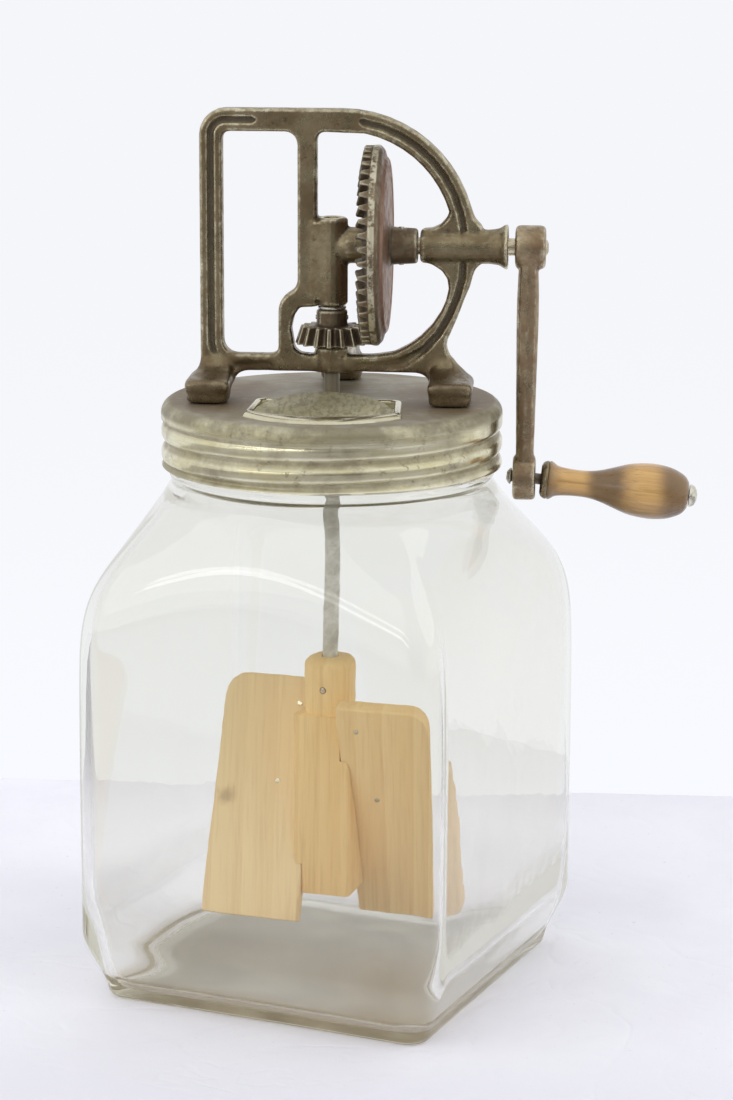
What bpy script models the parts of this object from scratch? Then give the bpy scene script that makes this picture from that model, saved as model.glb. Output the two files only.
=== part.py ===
"""Hand-cranked butter churn: a square glass jar, a screw lid with a cast frame, bevel gears and a dasher.

Metres, +Z up.  The origin is the centre of the jar's base, the crank shaft lies along +X, and the
cast frame stands in the plane Y = 0.
"""
import math

import bmesh
import bpy
from mathutils import Matrix, Vector

# Clearances and cutting
GAP = 0.0003
RUN_GAP = 0.0008
OVERRUN = 0.002
MERGE = 0.000001
SMOOTH_ANGLE = math.radians(38)

# Glass jar
JAR_TURN = math.radians(-19.7)
JAR_HEIGHT = 0.2270
JAR_BASE_HALF = 0.0668
JAR_BODY_HALF = 0.0751
JAR_BASE_CORNER = 0.008
JAR_BODY_CORNER = 0.0120
JAR_HEEL = 0.027
JAR_BASE_EDGE = 0.0010
JAR_NECK_HEIGHT = 0.0270
JAR_SHOULDER_TOP = JAR_HEIGHT - JAR_NECK_HEIGHT
JAR_SHOULDER_RADIUS = 0.0613
JAR_SHOULDER_SLOPE = 0.608
JAR_SHOULDER_CURVE = 0.0617
JAR_SHOULDER_DEPTH = 0.066
JAR_BLEND_POWER = 6.4
JAR_NECK_RADIUS = 0.0602
JAR_NECK_BEAD = 0.0018
JAR_NECK_BEAD_HEIGHT = 0.0036
JAR_MOUTH_RADIUS = 0.0562
JAR_RIM_ROUND = 0.0016
JAR_WALL = 0.0036
JAR_FLOOR = 0.0058
JAR_FLOOR_ROUND = 0.0060
JAR_CORNER_STEPS = 5
JAR_SIDE_STEPS = 4

# Screw lid, with the rolled thread in its skirt
LID_RADIUS = 0.0650
LID_SKIRT = 0.0251
LID_PLATE = 0.0012
LID_WALL = 0.0026
LID_ROUND = 0.0050
LID_CURL = 0.0007
THREAD_PITCH = 0.0084
THREAD_DEPTH = 0.0015
THREAD_TOP = 0.0068
THREAD_RUNOUT = 0.0018
THREAD_PHASE = 0.0130
LID_STEPS = 40
LID_THREAD_ROWS = 10
LID_UNDER = JAR_HEIGHT + GAP
LID_TOP = LID_UNDER + LID_PLATE
LID_BOTTOM = LID_TOP - LID_SKIRT

# Vent: a raised collar on the front of the lid, a hole and a rocking flap
COLLAR_HEIGHT = 0.0016
COLLAR_FLARE = 0.0009
COLLAR_NOOK = 0.0040
COLLAR_HALF_WIDTH = 0.0285
COLLAR_SIDE = 0.0440
COLLAR_FRONT = 0.0592
COLLAR_BACK_HALF = 0.0272
COLLAR_BACK = 0.0132
WELL_HALF_WIDTH = 0.0266
WELL_SIDE = 0.0405
WELL_FRONT = 0.0494
WELL_BACK_HALF = 0.0252
WELL_BACK = 0.0154
FLAP_HALF_WIDTH = 0.0260
FLAP_HINGE = 0.0395
FLAP_HINGE_HEIGHT = 0.0007
FLAP_BACK = 0.0232
FLAP_FRONT = 0.0091
FLAP_PLATE = 0.0008
FLAP_REST = math.radians(9.8)
VENT_GAP = 0.0004
STUB_RADIUS = 0.00045
STUB_BITE = 0.0014

# Vertical dasher shaft and its bush in the lid
SHAFT_RADIUS = 0.0030
SHAFT_FOOT = 0.0700
BUSH_RADIUS = 0.0046
BUSH_FLANGE = 0.0066
BUSH_FLANGE_THICK = 0.0009

# Bevel gear pair, both cut to one apex on the crank axis
GEAR_TEETH = 44
PINION_TEETH = 16
GEAR_RADIUS = 0.0374
PINION_PITCH_RADIUS = GEAR_RADIUS * PINION_TEETH / GEAR_TEETH
GEAR_TOOTH_LENGTH = 0.0078
GEAR_TOOTH_PROUD = 0.0012
GEAR_TOOTH_DRAW = 0.0016
GEAR_CREST_OUTER = PINION_PITCH_RADIUS - GEAR_TOOTH_PROUD
GEAR_CREST_INNER = GEAR_CREST_OUTER - GEAR_TOOTH_DRAW
GEAR_TOOTH_OUTER = 0.0034
GEAR_TOOTH_INNER = 0.0028
GEAR_RIM = 0.0003
GEAR_RIM_WIDTH = 0.0018
GEAR_RIM_CHAMFER = 0.0016
GEAR_WEB_SHY = 0.0020
GEAR_WEB_RADIUS = GEAR_RADIUS - GEAR_WEB_SHY
GEAR_WEB_DEPTH = 0.0054
GEAR_WEB_FRONT = GEAR_CREST_OUTER + GEAR_WEB_DEPTH
GEAR_WEB_THICK = 0.0023
GEAR_DISH = 0.0022
GEAR_HUB_RADIUS = 0.0066
GEAR_HUB_DEPTH = 0.0050
GEAR_HUB_START = GEAR_CREST_OUTER + GEAR_HUB_DEPTH
GEAR_HUB_PLAY = 0.0010
GEAR_PIN_RADIUS = 0.0011
GEAR_PIN_INSET = 0.0062
GEAR_PIN_PROUD = 0.0006
TOOTH_CREST_SHARE = 0.29
TOOTH_ROOT_SHARE = 0.60
PINION_FACE = 0.0070
PINION_TOOTH_PROUD = 0.0004
PINION_TOOTH_DRAW = 0.0023
PINION_CREST_BIG = PINION_PITCH_RADIUS + PINION_TOOTH_PROUD
PINION_CREST_SMALL = PINION_CREST_BIG - PINION_TOOTH_DRAW
PINION_TOOTH_DEPTH = 0.0030
PINION_HUB_RADIUS = 0.0059
PINION_HUB_HEIGHT = 0.0060
PINION_PIN_RADIUS = 0.0009
WASHER_RADIUS = 0.0054
WASHER_THICK = 0.0010
GEAR_WEB_STEPS = 44

# Crank shaft, arm and grip
CRANK_RADIUS = 0.0033
CRANK_START = 0.0080
ARM_CLEAR = 0.0040
BOSS_START = LID_RADIUS + ARM_CLEAR
BOSS_LENGTH = 0.0115
BOSS_RADIUS = 0.0083
BOSS_ROUND = 0.0012
CRANK_RIVET = 0.0006
THROW = 0.0879
EYE_INSET = 0.0002
EYE_START = BOSS_START + EYE_INSET
EYE_LENGTH = 0.0086
EYE_RADIUS = 0.0086
EYE_ROUND = 0.0008
ARM_TOP_THICK = 0.0073
ARM_MID_THICK = 0.0083
ARM_FOOT_THICK = 0.0065
ARM_TOP_WIDE = 0.0132
ARM_FOOT_WIDE = 0.0110
ARM_CORNER_SHARE = 0.44
ARM_TOP_INSET = 0.0052
ARM_FOOT_INSET = 0.0046
ARM_CENTRE_TOP = BOSS_START + ARM_TOP_INSET
ARM_CENTRE_FOOT = BOSS_START + ARM_FOOT_INSET
DROOP = math.radians(5.4)
SPINDLE_RADIUS = 0.0021
SPINDLE_HEAD_RADIUS = 0.0031
SPINDLE_HEAD = 0.0016
FERRULE_START = 0.0063
FERRULE_LENGTH = 0.0026
FERRULE_SMALL = 0.0052
FERRULE_LARGE = 0.0073
GRIP_LENGTH = 0.0534
GRIP_RADIUS = 0.0105
GRIP_CAP_RADIUS = 0.0043
GRIP_CAP_LENGTH = 0.0031

# Cast frame, heights above the lid's top
FRAME_HALF_DEPTH = 0.0035
FRAME_EDGE = 0.0008
FRAME_LEFT = 0.0499
FRAME_BAR = 0.0087
FRAME_CORNER = 0.0100
WINDOW_CORNER = 0.0026
POST_LEFT = 0.0129
POST_RIGHT = 0.0055
POST_CORNER = 0.0045
BEND_HIGH = 0.0068
BEND_LOW = 0.0022
BEND_ROUND_HIGH = 0.0052
BEND_ROUND_LOW = 0.0080
DECK_BOTTOM = 0.0102
DECK_THICK = 0.0067
LOWER_BOSS = 0.0040
AXIS_HEIGHT = DECK_BOTTOM + DECK_THICK + LOWER_BOSS + GEAR_RADIUS
BOW_CENTRE = 0.0040
BOW_LIFT = 0.0008
BOW_CLEAR = 0.0043
BOW_BAR = 0.0083
BOW_RADIUS = GEAR_RADIUS + GEAR_RIM + BOW_CLEAR + BOW_BAR
FRAME_HEIGHT = AXIS_HEIGHT + BOW_LIFT + BOW_RADIUS
LOOP_LEFT = 0.0202
CHANNEL_HALF = 0.0014
CHANNEL_DEPTH = 0.0011
CHANNEL_SLOPE = 0.0005
BEAD = 0.0043
PAD_LEFT = 0.0284
PAD_RIGHT = 0.0103
PAD_TAPER = 0.0016
UPRIGHT_RADIUS = 0.0060
UPRIGHT_TOP = 0.0106
CHEEK_LEFT = 0.0092
CHEEK_RIGHT = 0.0026
CHEEK_DEPTH = 0.0053
BLIND_RADIUS = 0.0069
BLIND_PLAY = 0.0006
BLIND_END = GEAR_HUB_START - BLIND_PLAY
BLIND_START = 0.0005
LOWER_BOSS_RADIUS = 0.0065
TUBE_INSET = 0.0209
TUBE_START = BOW_CENTRE + BOW_RADIUS - TUBE_INSET
TUBE_PLAY = 0.0026
TUBE_END = BOSS_START - TUBE_PLAY
TUBE_RADIUS = 0.0065
TUBE_FLARE_RADIUS = 0.0086
TUBE_FLARE = 0.0068

# Frame feet and the rivets that hold them to the lid
FOOT_X = 0.0456
FOOT_Y = 0.0132
REAR_FOOT_Y = 0.0460
FOOT_HALF_WIDE = 0.0080
FOOT_HALF_DEEP = 0.0078
FOOT_BLOCK = 0.0046
FOOT_LEDGE = 0.0044
FOOT_LIP = 0.0005
FOOT_STEPS = 3
FOOT_PAD_CORNER = 0.0042
FOOT_LEDGE_CORNER = 0.0026
LEG_HALF_WIDE = 0.0068
LEG_DROP = 0.0012
RIVET_RADIUS = 0.0022
RIVET_BITE = 0.0060
RIVET_HEAD_RADIUS = 0.0042
RIVET_HEAD = 0.0018

# Wooden dasher
CORE_HALF = 0.0115
CORE_FOOT = 0.0340
CORE_TOP = 0.1060
CORE_EDGE = 0.0012
NECK_RADIUS = 0.0100
NECK_TOP = 0.1270
NECK_ROUND = 0.0035
NECK_PIN_RADIUS = 0.0010
NECK_PIN_AT = 0.1160
PADDLE_TURN = math.radians(-13.5)
PADDLE_TILT = math.radians(19.7)
PADDLE_INNER = 0.0080
PADDLE_OUTER = 0.0474
PADDLE_LENGTH = 0.0977
PADDLE_THICK = 0.0066
PADDLE_MIDDLE = 0.0672
PADDLE_SHOULDER = 0.0095
PADDLE_CORNER = 0.0015

# Heights and places that follow from the sizes above
GEAR_HUB_END = TUBE_START - GEAR_HUB_PLAY
GEAR_PIN_AT = GEAR_HUB_END - GEAR_PIN_INSET
AXIS_Z = LID_TOP + AXIS_HEIGHT
DECK_Z = LID_TOP + DECK_BOTTOM
DECK_TOP = DECK_Z + DECK_THICK
FRAME_TOP = LID_TOP + FRAME_HEIGHT
PINION_BIG_Z = AXIS_Z - GEAR_RADIUS
PINION_SMALL_Z = PINION_BIG_Z + PINION_FACE
PINION_TOP = PINION_SMALL_Z + PINION_HUB_HEIGHT
WASHER_Z = PINION_TOP + GAP
UPRIGHT_FOOT = WASHER_Z + WASHER_THICK + GAP
LOWER_BOSS_TOP = PINION_BIG_Z - RUN_GAP
UPRIGHT_Z = AXIS_Z + UPRIGHT_TOP
SHAFT_TOP = UPRIGHT_Z - OVERRUN
FOOT_Z = LID_TOP + GAP
LEDGE_Z = FOOT_Z + FOOT_BLOCK
LEDGE_TOP = LEDGE_Z + FOOT_LEDGE
EYE_Z = AXIS_Z - THROW
EYE_MIDDLE = EYE_START + EYE_LENGTH / 2
HINGE_Z = LID_TOP + FLAP_HINGE_HEIGHT
UP = Vector((0, 0, 1))


def make_material(name, colour, roughness, metallic, transmission=0.0):
    material = bpy.data.materials.new(name)
    material.use_nodes = True
    shader = material.node_tree.nodes["Principled BSDF"]
    shader.inputs["Base Color"].default_value = (*colour, 1.0)
    shader.inputs["Roughness"].default_value = roughness
    shader.inputs["Metallic"].default_value = metallic
    shader.inputs["Transmission Weight"].default_value = transmission
    material.diffuse_color = (*colour, 1.0)
    return material


def add_object(name, mesh_builder, material, origin=(0, 0, 0), turn=None):
    """Make a named object; its mesh is drawn about the origin and then placed by turn and location."""
    bmesh.ops.recalc_face_normals(mesh_builder, faces=mesh_builder.faces)
    mesh = bpy.data.meshes.new(name)
    mesh_builder.to_mesh(mesh)
    mesh_builder.free()
    mesh.materials.append(material)
    item = bpy.data.objects.new(name, mesh)
    bpy.context.scene.collection.objects.link(item)
    item.matrix_world = Matrix.Translation(origin) @ (turn or Matrix()).to_4x4()
    finish_shading(item)
    return item


def finish_shading(item):
    item.data.shade_smooth()
    item.data.set_sharp_from_angle(angle=SMOOTH_ANGLE)


def combine(target, tool, operation):
    """Join or cut the target with a tool object, keep the result and remove the tool."""
    bpy.context.view_layer.update()
    modifier = target.modifiers.new(operation.lower(), "BOOLEAN")
    modifier.operation = operation
    modifier.solver = "EXACT"
    modifier.object = tool
    tool.hide_render = True
    tool.display_type = "WIRE"
    evaluated = target.evaluated_get(bpy.context.evaluated_depsgraph_get())
    mesh = bpy.data.meshes.new_from_object(evaluated)
    target.modifiers.clear()
    old_mesh = target.data
    target.data = mesh
    mesh.name = target.name
    bpy.data.meshes.remove(old_mesh)
    bpy.data.objects.remove(tool)
    while len(mesh.materials) > 1:
        mesh.materials.pop()
    finish_shading(target)


def arc(centre, radius, start, end, steps):
    """Points on an arc in a plane, both ends included, angles in radians."""
    points = []
    for step in range(steps + 1):
        angle = start + (end - start) * step / steps
        points.append((centre[0] + radius * math.cos(angle), centre[1] + radius * math.sin(angle)))
    return points


def fillet(corners, steps=4):
    """Round the corners (a, b, radius) of a closed outline."""
    points = []
    count = len(corners)
    for index, (a, b, radius) in enumerate(corners):
        here = Vector((a, b))
        if radius == 0:
            points.append((a, b))
            continue
        back = (Vector(corners[index - 1][:2]) - here).normalized()
        ahead = (Vector(corners[(index + 1) % count][:2]) - here).normalized()
        half = back.angle(ahead) / 2
        reach = radius / math.tan(half)
        centre = here + (back + ahead).normalized() * (radius / math.sin(half))
        first = here + back * reach - centre
        last = here + ahead * reach - centre
        sweep = first.angle_signed(last)
        for step in range(steps + 1):
            spoke = first.copy()
            spoke.rotate(Matrix.Rotation(-sweep * step / steps, 2))
            points.append(tuple(centre + spoke))
    return points


def lathe(profile, steps, closed=True):
    """Turn a profile of (radius, height) about Z; an open profile gets flat faces over its end rings."""
    builder = bmesh.new()
    corners = [builder.verts.new((radius, 0, height)) for radius, height in profile]
    edges = [builder.edges.new(pair) for pair in zip(corners, corners[1:])]
    if closed:
        edges.append(builder.edges.new((corners[-1], corners[0])))
    bmesh.ops.spin(builder, geom=corners + edges, cent=(0, 0, 0), axis=UP, angle=2 * math.pi,
                   steps=steps, use_merge=True)
    bmesh.ops.remove_doubles(builder, verts=builder.verts, dist=MERGE)
    if not closed:
        rims = [edge for edge in builder.edges if edge.is_boundary]
        bmesh.ops.holes_fill(builder, edges=rims, sides=0)
    return builder


def rod(radius, start, end, steps=18):
    """A plain round bar along Z."""
    return lathe([(radius, start), (radius, end)], steps, closed=False)


def prism(outline, start, end):
    """Extrude an outline in X and Y from one height to another."""
    builder = bmesh.new()
    face = builder.faces.new([builder.verts.new((a, b, start)) for a, b in outline])
    grown = bmesh.ops.extrude_face_region(builder, geom=[face])
    raised = [item for item in grown["geom"] if isinstance(item, bmesh.types.BMVert)]
    bmesh.ops.translate(builder, vec=UP * (end - start), verts=raised)
    return builder


def loft(sections, closed=False):
    """Skin equal rings of points; the ends are capped, or joined to each other when closed."""
    builder = bmesh.new()
    rings = [[builder.verts.new(point) for point in section] for section in sections]
    pairs = list(zip(rings, rings[1:]))
    if closed:
        pairs.append((rings[-1], rings[0]))
    for lower, upper in pairs:
        for index in range(len(lower)):
            after = (index + 1) % len(lower)
            builder.faces.new((lower[index], lower[after], upper[after], upper[index]))
    if not closed:
        builder.faces.new(rings[0])
        builder.faces.new(rings[-1])
    return builder


def rectangle_section(centre, half_a, half_b, corner, height, steps=2):
    """A rounded rectangle at a height, as a list of points."""
    corners = [(centre[0] + a * half_a, centre[1] + b * half_b, corner)
               for a, b in ((1, 1), (-1, 1), (-1, -1), (1, -1))]
    return [(a, b, height) for a, b in fillet(corners, steps)]


def attach(item, parent):
    """Parent an object where it stands."""
    item.parent = parent
    item.matrix_parent_inverse = parent.matrix_world.inverted()


def carrier(name, location, parent=None):
    """An empty on a joint's axis, which carries the pieces that move with that joint."""
    empty = bpy.data.objects.new(name, None)
    bpy.context.scene.collection.objects.link(empty)
    empty.matrix_world = Matrix.Translation(location)
    if parent:
        attach(empty, parent)
    return empty


ALONG_X = Matrix.Rotation(math.radians(90), 4, "Y")
FACE_FRONT = Matrix.Rotation(math.radians(90), 4, "X")


# Glass jar

def square_radius(angle, half, corner):
    """Distance from the middle of a rounded square to its edge."""
    turned = abs((angle + math.pi / 4) % (math.pi / 2) - math.pi / 4)
    inner = half - corner
    if half * math.tan(turned) <= inner:
        return half / math.cos(turned)
    middle = inner * (math.cos(turned) + math.sin(turned))
    return middle + math.sqrt(max(middle ** 2 - 2 * inner ** 2 + corner ** 2, 0))


def jar_angles():
    """Directions of the jar's mesh columns, closer together round the corners."""
    inner = JAR_BODY_HALF - JAR_BODY_CORNER
    edge = math.atan2(inner, JAR_BODY_HALF)
    angles = []
    for side in range(4):
        middle = side * math.pi / 2
        for step in range(JAR_SIDE_STEPS):
            angles.append(middle - edge + 2 * edge * step / JAR_SIDE_STEPS)
        for a, b in arc((inner, inner), JAR_BODY_CORNER, 0, math.pi / 2, JAR_CORNER_STEPS)[:-1]:
            angles.append(middle + math.atan2(b, a))
    return angles


def jar_radius(angle, height):
    """Outside of the jar below the neck: a rounded square cut off softly by a bell-shaped shoulder."""
    rise = min(max(height / JAR_HEEL, 0), 1)
    swell = rise * rise * (3 - 2 * rise)
    half = JAR_BASE_HALF + (JAR_BODY_HALF - JAR_BASE_HALF) * swell
    corner = JAR_BASE_CORNER + (JAR_BODY_CORNER - JAR_BASE_CORNER) * swell
    square = square_radius(angle, half, corner)
    fall = JAR_SHOULDER_TOP - height
    bell = JAR_SHOULDER_RADIUS + JAR_SHOULDER_SLOPE * fall + fall * fall / JAR_SHOULDER_CURVE
    return (square ** -JAR_BLEND_POWER + bell ** -JAR_BLEND_POWER) ** (-1 / JAR_BLEND_POWER)


def build_jar(glass):
    angles = jar_angles()
    shoulder_foot = JAR_SHOULDER_TOP - JAR_SHOULDER_DEPTH
    shoulder_rows = 7

    def ring(height, radius_at):
        points = []
        for angle in angles:
            reach = radius_at(angle)
            points.append((reach * math.cos(angle), reach * math.sin(angle), height))
        return points

    outside = [ring(0, lambda angle: jar_radius(angle, 0) - JAR_BASE_EDGE)]
    heel_shares = (0.0, 0.25, 0.5, 0.75, 1.0)
    for share in heel_shares:
        height = JAR_BASE_EDGE + (JAR_HEEL - JAR_BASE_EDGE) * share
        outside.append(ring(height, lambda angle: jar_radius(angle, height)))
    body_shares = (0.5, 1.0)
    for share in body_shares:
        height = JAR_HEEL + (shoulder_foot - JAR_HEEL) * share
        outside.append(ring(height, lambda angle: jar_radius(angle, height)))
    for row in range(1, shoulder_rows + 1):
        height = shoulder_foot + JAR_SHOULDER_DEPTH * row / (shoulder_rows + 1)
        outside.append(ring(height, lambda angle: jar_radius(angle, height)))
    bead_low = JAR_SHOULDER_TOP - JAR_NECK_BEAD_HEIGHT / 2
    for radius, height in ((JAR_NECK_RADIUS + JAR_NECK_BEAD, bead_low),
                           (JAR_NECK_RADIUS + JAR_NECK_BEAD, JAR_SHOULDER_TOP),
                           (JAR_NECK_RADIUS, bead_low + JAR_NECK_BEAD_HEIGHT),
                           (JAR_NECK_RADIUS, JAR_HEIGHT - JAR_RIM_ROUND),
                           (JAR_NECK_RADIUS - JAR_RIM_ROUND, JAR_HEIGHT)):
        outside.append(ring(height, lambda angle: radius))
    inside = []
    for radius, height in ((JAR_MOUTH_RADIUS + JAR_RIM_ROUND, JAR_HEIGHT),
                           (JAR_MOUTH_RADIUS, JAR_HEIGHT - JAR_RIM_ROUND),
                           (JAR_MOUTH_RADIUS, JAR_SHOULDER_TOP + JAR_WALL)):
        inside.append(ring(height, lambda angle: radius))
    for row in range(shoulder_rows, 0, -2):
        height = shoulder_foot + JAR_SHOULDER_DEPTH * row / (shoulder_rows + 1)
        inside.append(ring(height, lambda angle: jar_radius(angle, height) - JAR_WALL))
    for height in (shoulder_foot, JAR_FLOOR + 2 * JAR_FLOOR_ROUND, JAR_FLOOR + JAR_FLOOR_ROUND):
        inside.append(ring(height, lambda angle: jar_radius(angle, height) - JAR_WALL))
    floor_angles = (25, 55, 90)
    for degrees in floor_angles:
        turn = math.radians(degrees)
        height = JAR_FLOOR + JAR_FLOOR_ROUND * (1 - math.sin(turn))
        draw = JAR_FLOOR_ROUND * (1 - math.cos(turn))
        inside.append(ring(height, lambda angle: jar_radius(angle, height) - JAR_WALL - draw))
    return add_object("glass_jar", loft(outside + inside), glass, turn=Matrix.Rotation(JAR_TURN, 4, "Z"))


# Screw lid

def ease(value):
    value = min(max(value, 0), 1)
    return value * value * (3 - 2 * value)


def skirt_radius(angle, height):
    """Outside of the skirt: a right-hand helical groove between rolled beads, run out at both ends."""
    groove = LID_BOTTOM + THREAD_PHASE + THREAD_PITCH * angle / (2 * math.pi)
    wave = 0.5 + 0.5 * math.cos(2 * math.pi * (height - groove) / THREAD_PITCH)
    upper = LID_TOP - THREAD_TOP
    fade = ease((upper - height) / THREAD_RUNOUT) * ease((height - LID_BOTTOM) / THREAD_RUNOUT)
    return LID_RADIUS - THREAD_DEPTH * wave ** 2 * fade


def build_lid(tin):
    angles = [2 * math.pi * step / LID_STEPS for step in range(LID_STEPS)]

    def ring(radius_at, height):
        return [(radius_at(a) * math.cos(a), radius_at(a) * math.sin(a), height) for a in angles]

    rows = []
    for reach, drop in arc((LID_RADIUS - LID_ROUND, LID_TOP - LID_ROUND), LID_ROUND, math.pi / 2, 0, 4):
        rows.append(ring(lambda a: reach, drop))
    thread_high = LID_TOP - THREAD_TOP
    for row in range(LID_THREAD_ROWS + 1):
        height = thread_high + (LID_BOTTOM + LID_CURL - thread_high) * row / LID_THREAD_ROWS
        rows.append(ring(lambda a: skirt_radius(a, height), height))
    rows.append(ring(lambda a: LID_RADIUS - LID_CURL, LID_BOTTOM))
    bore = LID_RADIUS - LID_WALL
    rows.append(ring(lambda a: bore + LID_CURL, LID_BOTTOM))
    rows.append(ring(lambda a: bore, LID_BOTTOM + LID_CURL))
    rows.append(ring(lambda a: bore, LID_UNDER - LID_WALL))
    rows.append(ring(lambda a: bore - LID_WALL / 2, LID_UNDER))
    lid = add_object("screw_lid", loft(rows), tin)

    low = LID_UNDER + LID_PLATE / 2
    high = LID_TOP + COLLAR_HEIGHT
    flare = COLLAR_FLARE
    foot = collar_outline(COLLAR_HALF_WIDTH, COLLAR_SIDE, COLLAR_FRONT, COLLAR_BACK_HALF,
                          COLLAR_BACK, flare)
    crown = collar_outline(COLLAR_HALF_WIDTH, COLLAR_SIDE, COLLAR_FRONT, COLLAR_BACK_HALF,
                           COLLAR_BACK, 0)
    brink = collar_outline(WELL_HALF_WIDTH, WELL_SIDE, WELL_FRONT, WELL_BACK_HALF, WELL_BACK, flare / 2)
    well = collar_outline(WELL_HALF_WIDTH, WELL_SIDE, WELL_FRONT, WELL_BACK_HALF, WELL_BACK, 0)
    levels = ((foot, low), (foot, LID_TOP - LID_PLATE / 4), (crown, high - flare / 3), (brink, high),
              (well, high - flare / 2), (well, low))
    sections = [[(a, b, height) for a, b in outline] for outline, height in levels]
    combine(lid, add_object("collar", loft(sections, closed=True), tin), "UNION")
    slot = [(a, b - FLAP_HINGE) for a, b in flap_outline(VENT_GAP)]
    cut_lid(lid, prism(slot, LID_UNDER - OVERRUN, LID_TOP + OVERRUN), tin)
    socket = WELL_HALF_WIDTH + STUB_BITE
    cut_lid(lid, rod(STUB_RADIUS + GAP, -socket, socket, 10), tin, (0, -FLAP_HINGE, HINGE_Z), ALONG_X)
    cut_lid(lid, rod(BUSH_RADIUS + GAP, LID_UNDER - OVERRUN, LID_TOP + OVERRUN), tin)
    for x, y in foot_places().values():
        cut_lid(lid, rod(RIVET_RADIUS + GAP, LID_UNDER - OVERRUN, LID_TOP + OVERRUN, 12), tin, (x, y, 0))
    return lid


def bow_curve(half, crown, steps):
    """Arc over a chord from (-half, 0) to (half, 0) by way of (0, crown), without its last point."""
    radius = (half ** 2 + crown ** 2) / (2 * abs(crown))
    side = math.copysign(1, crown)
    reach = math.asin(min(half / radius, 1))
    if abs(crown) > radius:
        reach = math.pi - reach
    centre = crown - side * radius
    points = []
    for step in range(steps):
        angle = -reach + 2 * reach * step / steps
        points.append((radius * math.sin(angle), centre + side * radius * math.cos(angle)))
    return points


def collar_outline(half, side, front, back_half, back, grow):
    """Edge of the collar or of its well: straight at the back and sides, an arc at the front."""
    corner = COLLAR_FLARE * 2
    curve = [(a, b - side) for a, b in bow_curve(half + grow, side - front - grow, 14)][1:]
    edge = back_half + grow
    rear = grow - back
    nook = COLLAR_NOOK
    return curve + [(half + grow - nook / 4, -side + nook / 4), (half + grow - nook / 6, -side + nook),
                    (edge, rear - corner), (edge - corner, rear), (corner - edge, rear),
                    (-edge, rear - corner),
                    (nook / 6 - half - grow, -side + nook), (nook / 4 - half - grow, -side + nook / 4)]


def flap_outline(margin):
    """Half-moon edge of the flap about its hinge line, grown by a margin."""
    half = FLAP_HALF_WIDTH + margin
    front = bow_curve(half, -FLAP_FRONT - margin, 10)
    back = bow_curve(half, FLAP_BACK + margin, 14)
    return front + [(-a, b) for a, b in back]


def cut_lid(lid, builder, tin, origin=(0, 0, 0), turn=None):
    combine(lid, add_object("cutter", builder, tin, origin, turn), "DIFFERENCE")


def build_vent(tin, vent_carrier):
    """Half-moon flap that rocks on two end stubs in the collar; its back edge stands up at rest."""
    turn = Matrix.Rotation(FLAP_REST, 4, "X")
    origin = (0, -FLAP_HINGE, HINGE_Z)
    plate_of_flap = prism(flap_outline(0), -FLAP_PLATE / 2, FLAP_PLATE / 2)
    flap = add_object("vent_flap", plate_of_flap, tin, origin, turn)
    tip = WELL_HALF_WIDTH + STUB_BITE - GAP
    root = FLAP_HALF_WIDTH - STUB_BITE * 2
    for side in (-1, 1):
        stub = rod(STUB_RADIUS, side * root, side * tip, 10)
        combine(flap, add_object("stub", stub, tin, origin, turn @ ALONG_X), "UNION")
    attach(flap, vent_carrier)
    return flap


def build_bush(brass):
    """Flanged eyelet that lines the hole in the middle of the lid."""
    bore = SHAFT_RADIUS + GAP
    low = LID_UNDER - GAP
    high = LID_TOP + GAP
    profile = [(bore, low - BUSH_FLANGE_THICK), (BUSH_FLANGE - GAP, low - BUSH_FLANGE_THICK),
               (BUSH_FLANGE - GAP, low), (BUSH_RADIUS, low), (BUSH_RADIUS, high), (BUSH_FLANGE, high),
               (BUSH_FLANGE - BUSH_FLANGE_THICK / 2, high + BUSH_FLANGE_THICK),
               (bore, high + BUSH_FLANGE_THICK)]
    return add_object("lid_bush", lathe(profile, 20), brass)


# Cast frame

def foot_places():
    return {"left": (-FOOT_X, -FOOT_Y), "right": (FOOT_X, -FOOT_Y), "rear": (0, REAR_FOOT_Y)}


def bow_points(shares):
    """Places given as shares of the bow's radius from the bow's centre."""
    centre_z = FRAME_TOP - BOW_RADIUS
    return [(BOW_CENTRE + BOW_RADIUS * a, centre_z + BOW_RADIUS * b) for a, b in shares]


def frame_outer():
    """Outside of the casting in X and Z, from the left foot round by the top to the right foot."""
    toe = DECK_Z - LEDGE_Z
    inner = FOOT_X - FOOT_HALF_WIDE
    points = [(-FRAME_LEFT - FOOT_LIP * 5, LEDGE_Z), (-FRAME_LEFT - FOOT_LIP * 3, DECK_Z - FOOT_LIP * 2),
              (-FRAME_LEFT, DECK_Z + FOOT_LIP * 6)]
    corner = (-FRAME_LEFT + FRAME_CORNER, FRAME_TOP - FRAME_CORNER)
    points += arc(corner, FRAME_CORNER, math.pi, math.pi / 2, 5)
    centre = (BOW_CENTRE, FRAME_TOP - BOW_RADIUS)
    points += arc(centre, BOW_RADIUS, math.pi / 2, math.radians(16), 11)
    throat_shares = ((0.990, 0.199), (1.044, 0.139), (1.066, 0.068), (1.066, -0.091), (1.046, -0.135),
                     (0.998, -0.181), (0.980, -0.231), (0.958, -0.314), (0.924, -0.396), (0.863, -0.557),
                     (0.793, -0.720), (0.787, -0.759), (0.795, -0.803), (0.835, -0.877), (0.912, -0.942),
                     (0.950, -0.985))
    points += bow_points(throat_shares)
    points.append((FOOT_X + FOOT_HALF_WIDE - FOOT_LIP, LEDGE_Z))
    points += arc((inner - toe, LEDGE_Z), toe, 0, math.pi / 2, 3)
    return points + arc((toe - inner, LEDGE_Z), toe, math.pi / 2, math.pi, 3)


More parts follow.
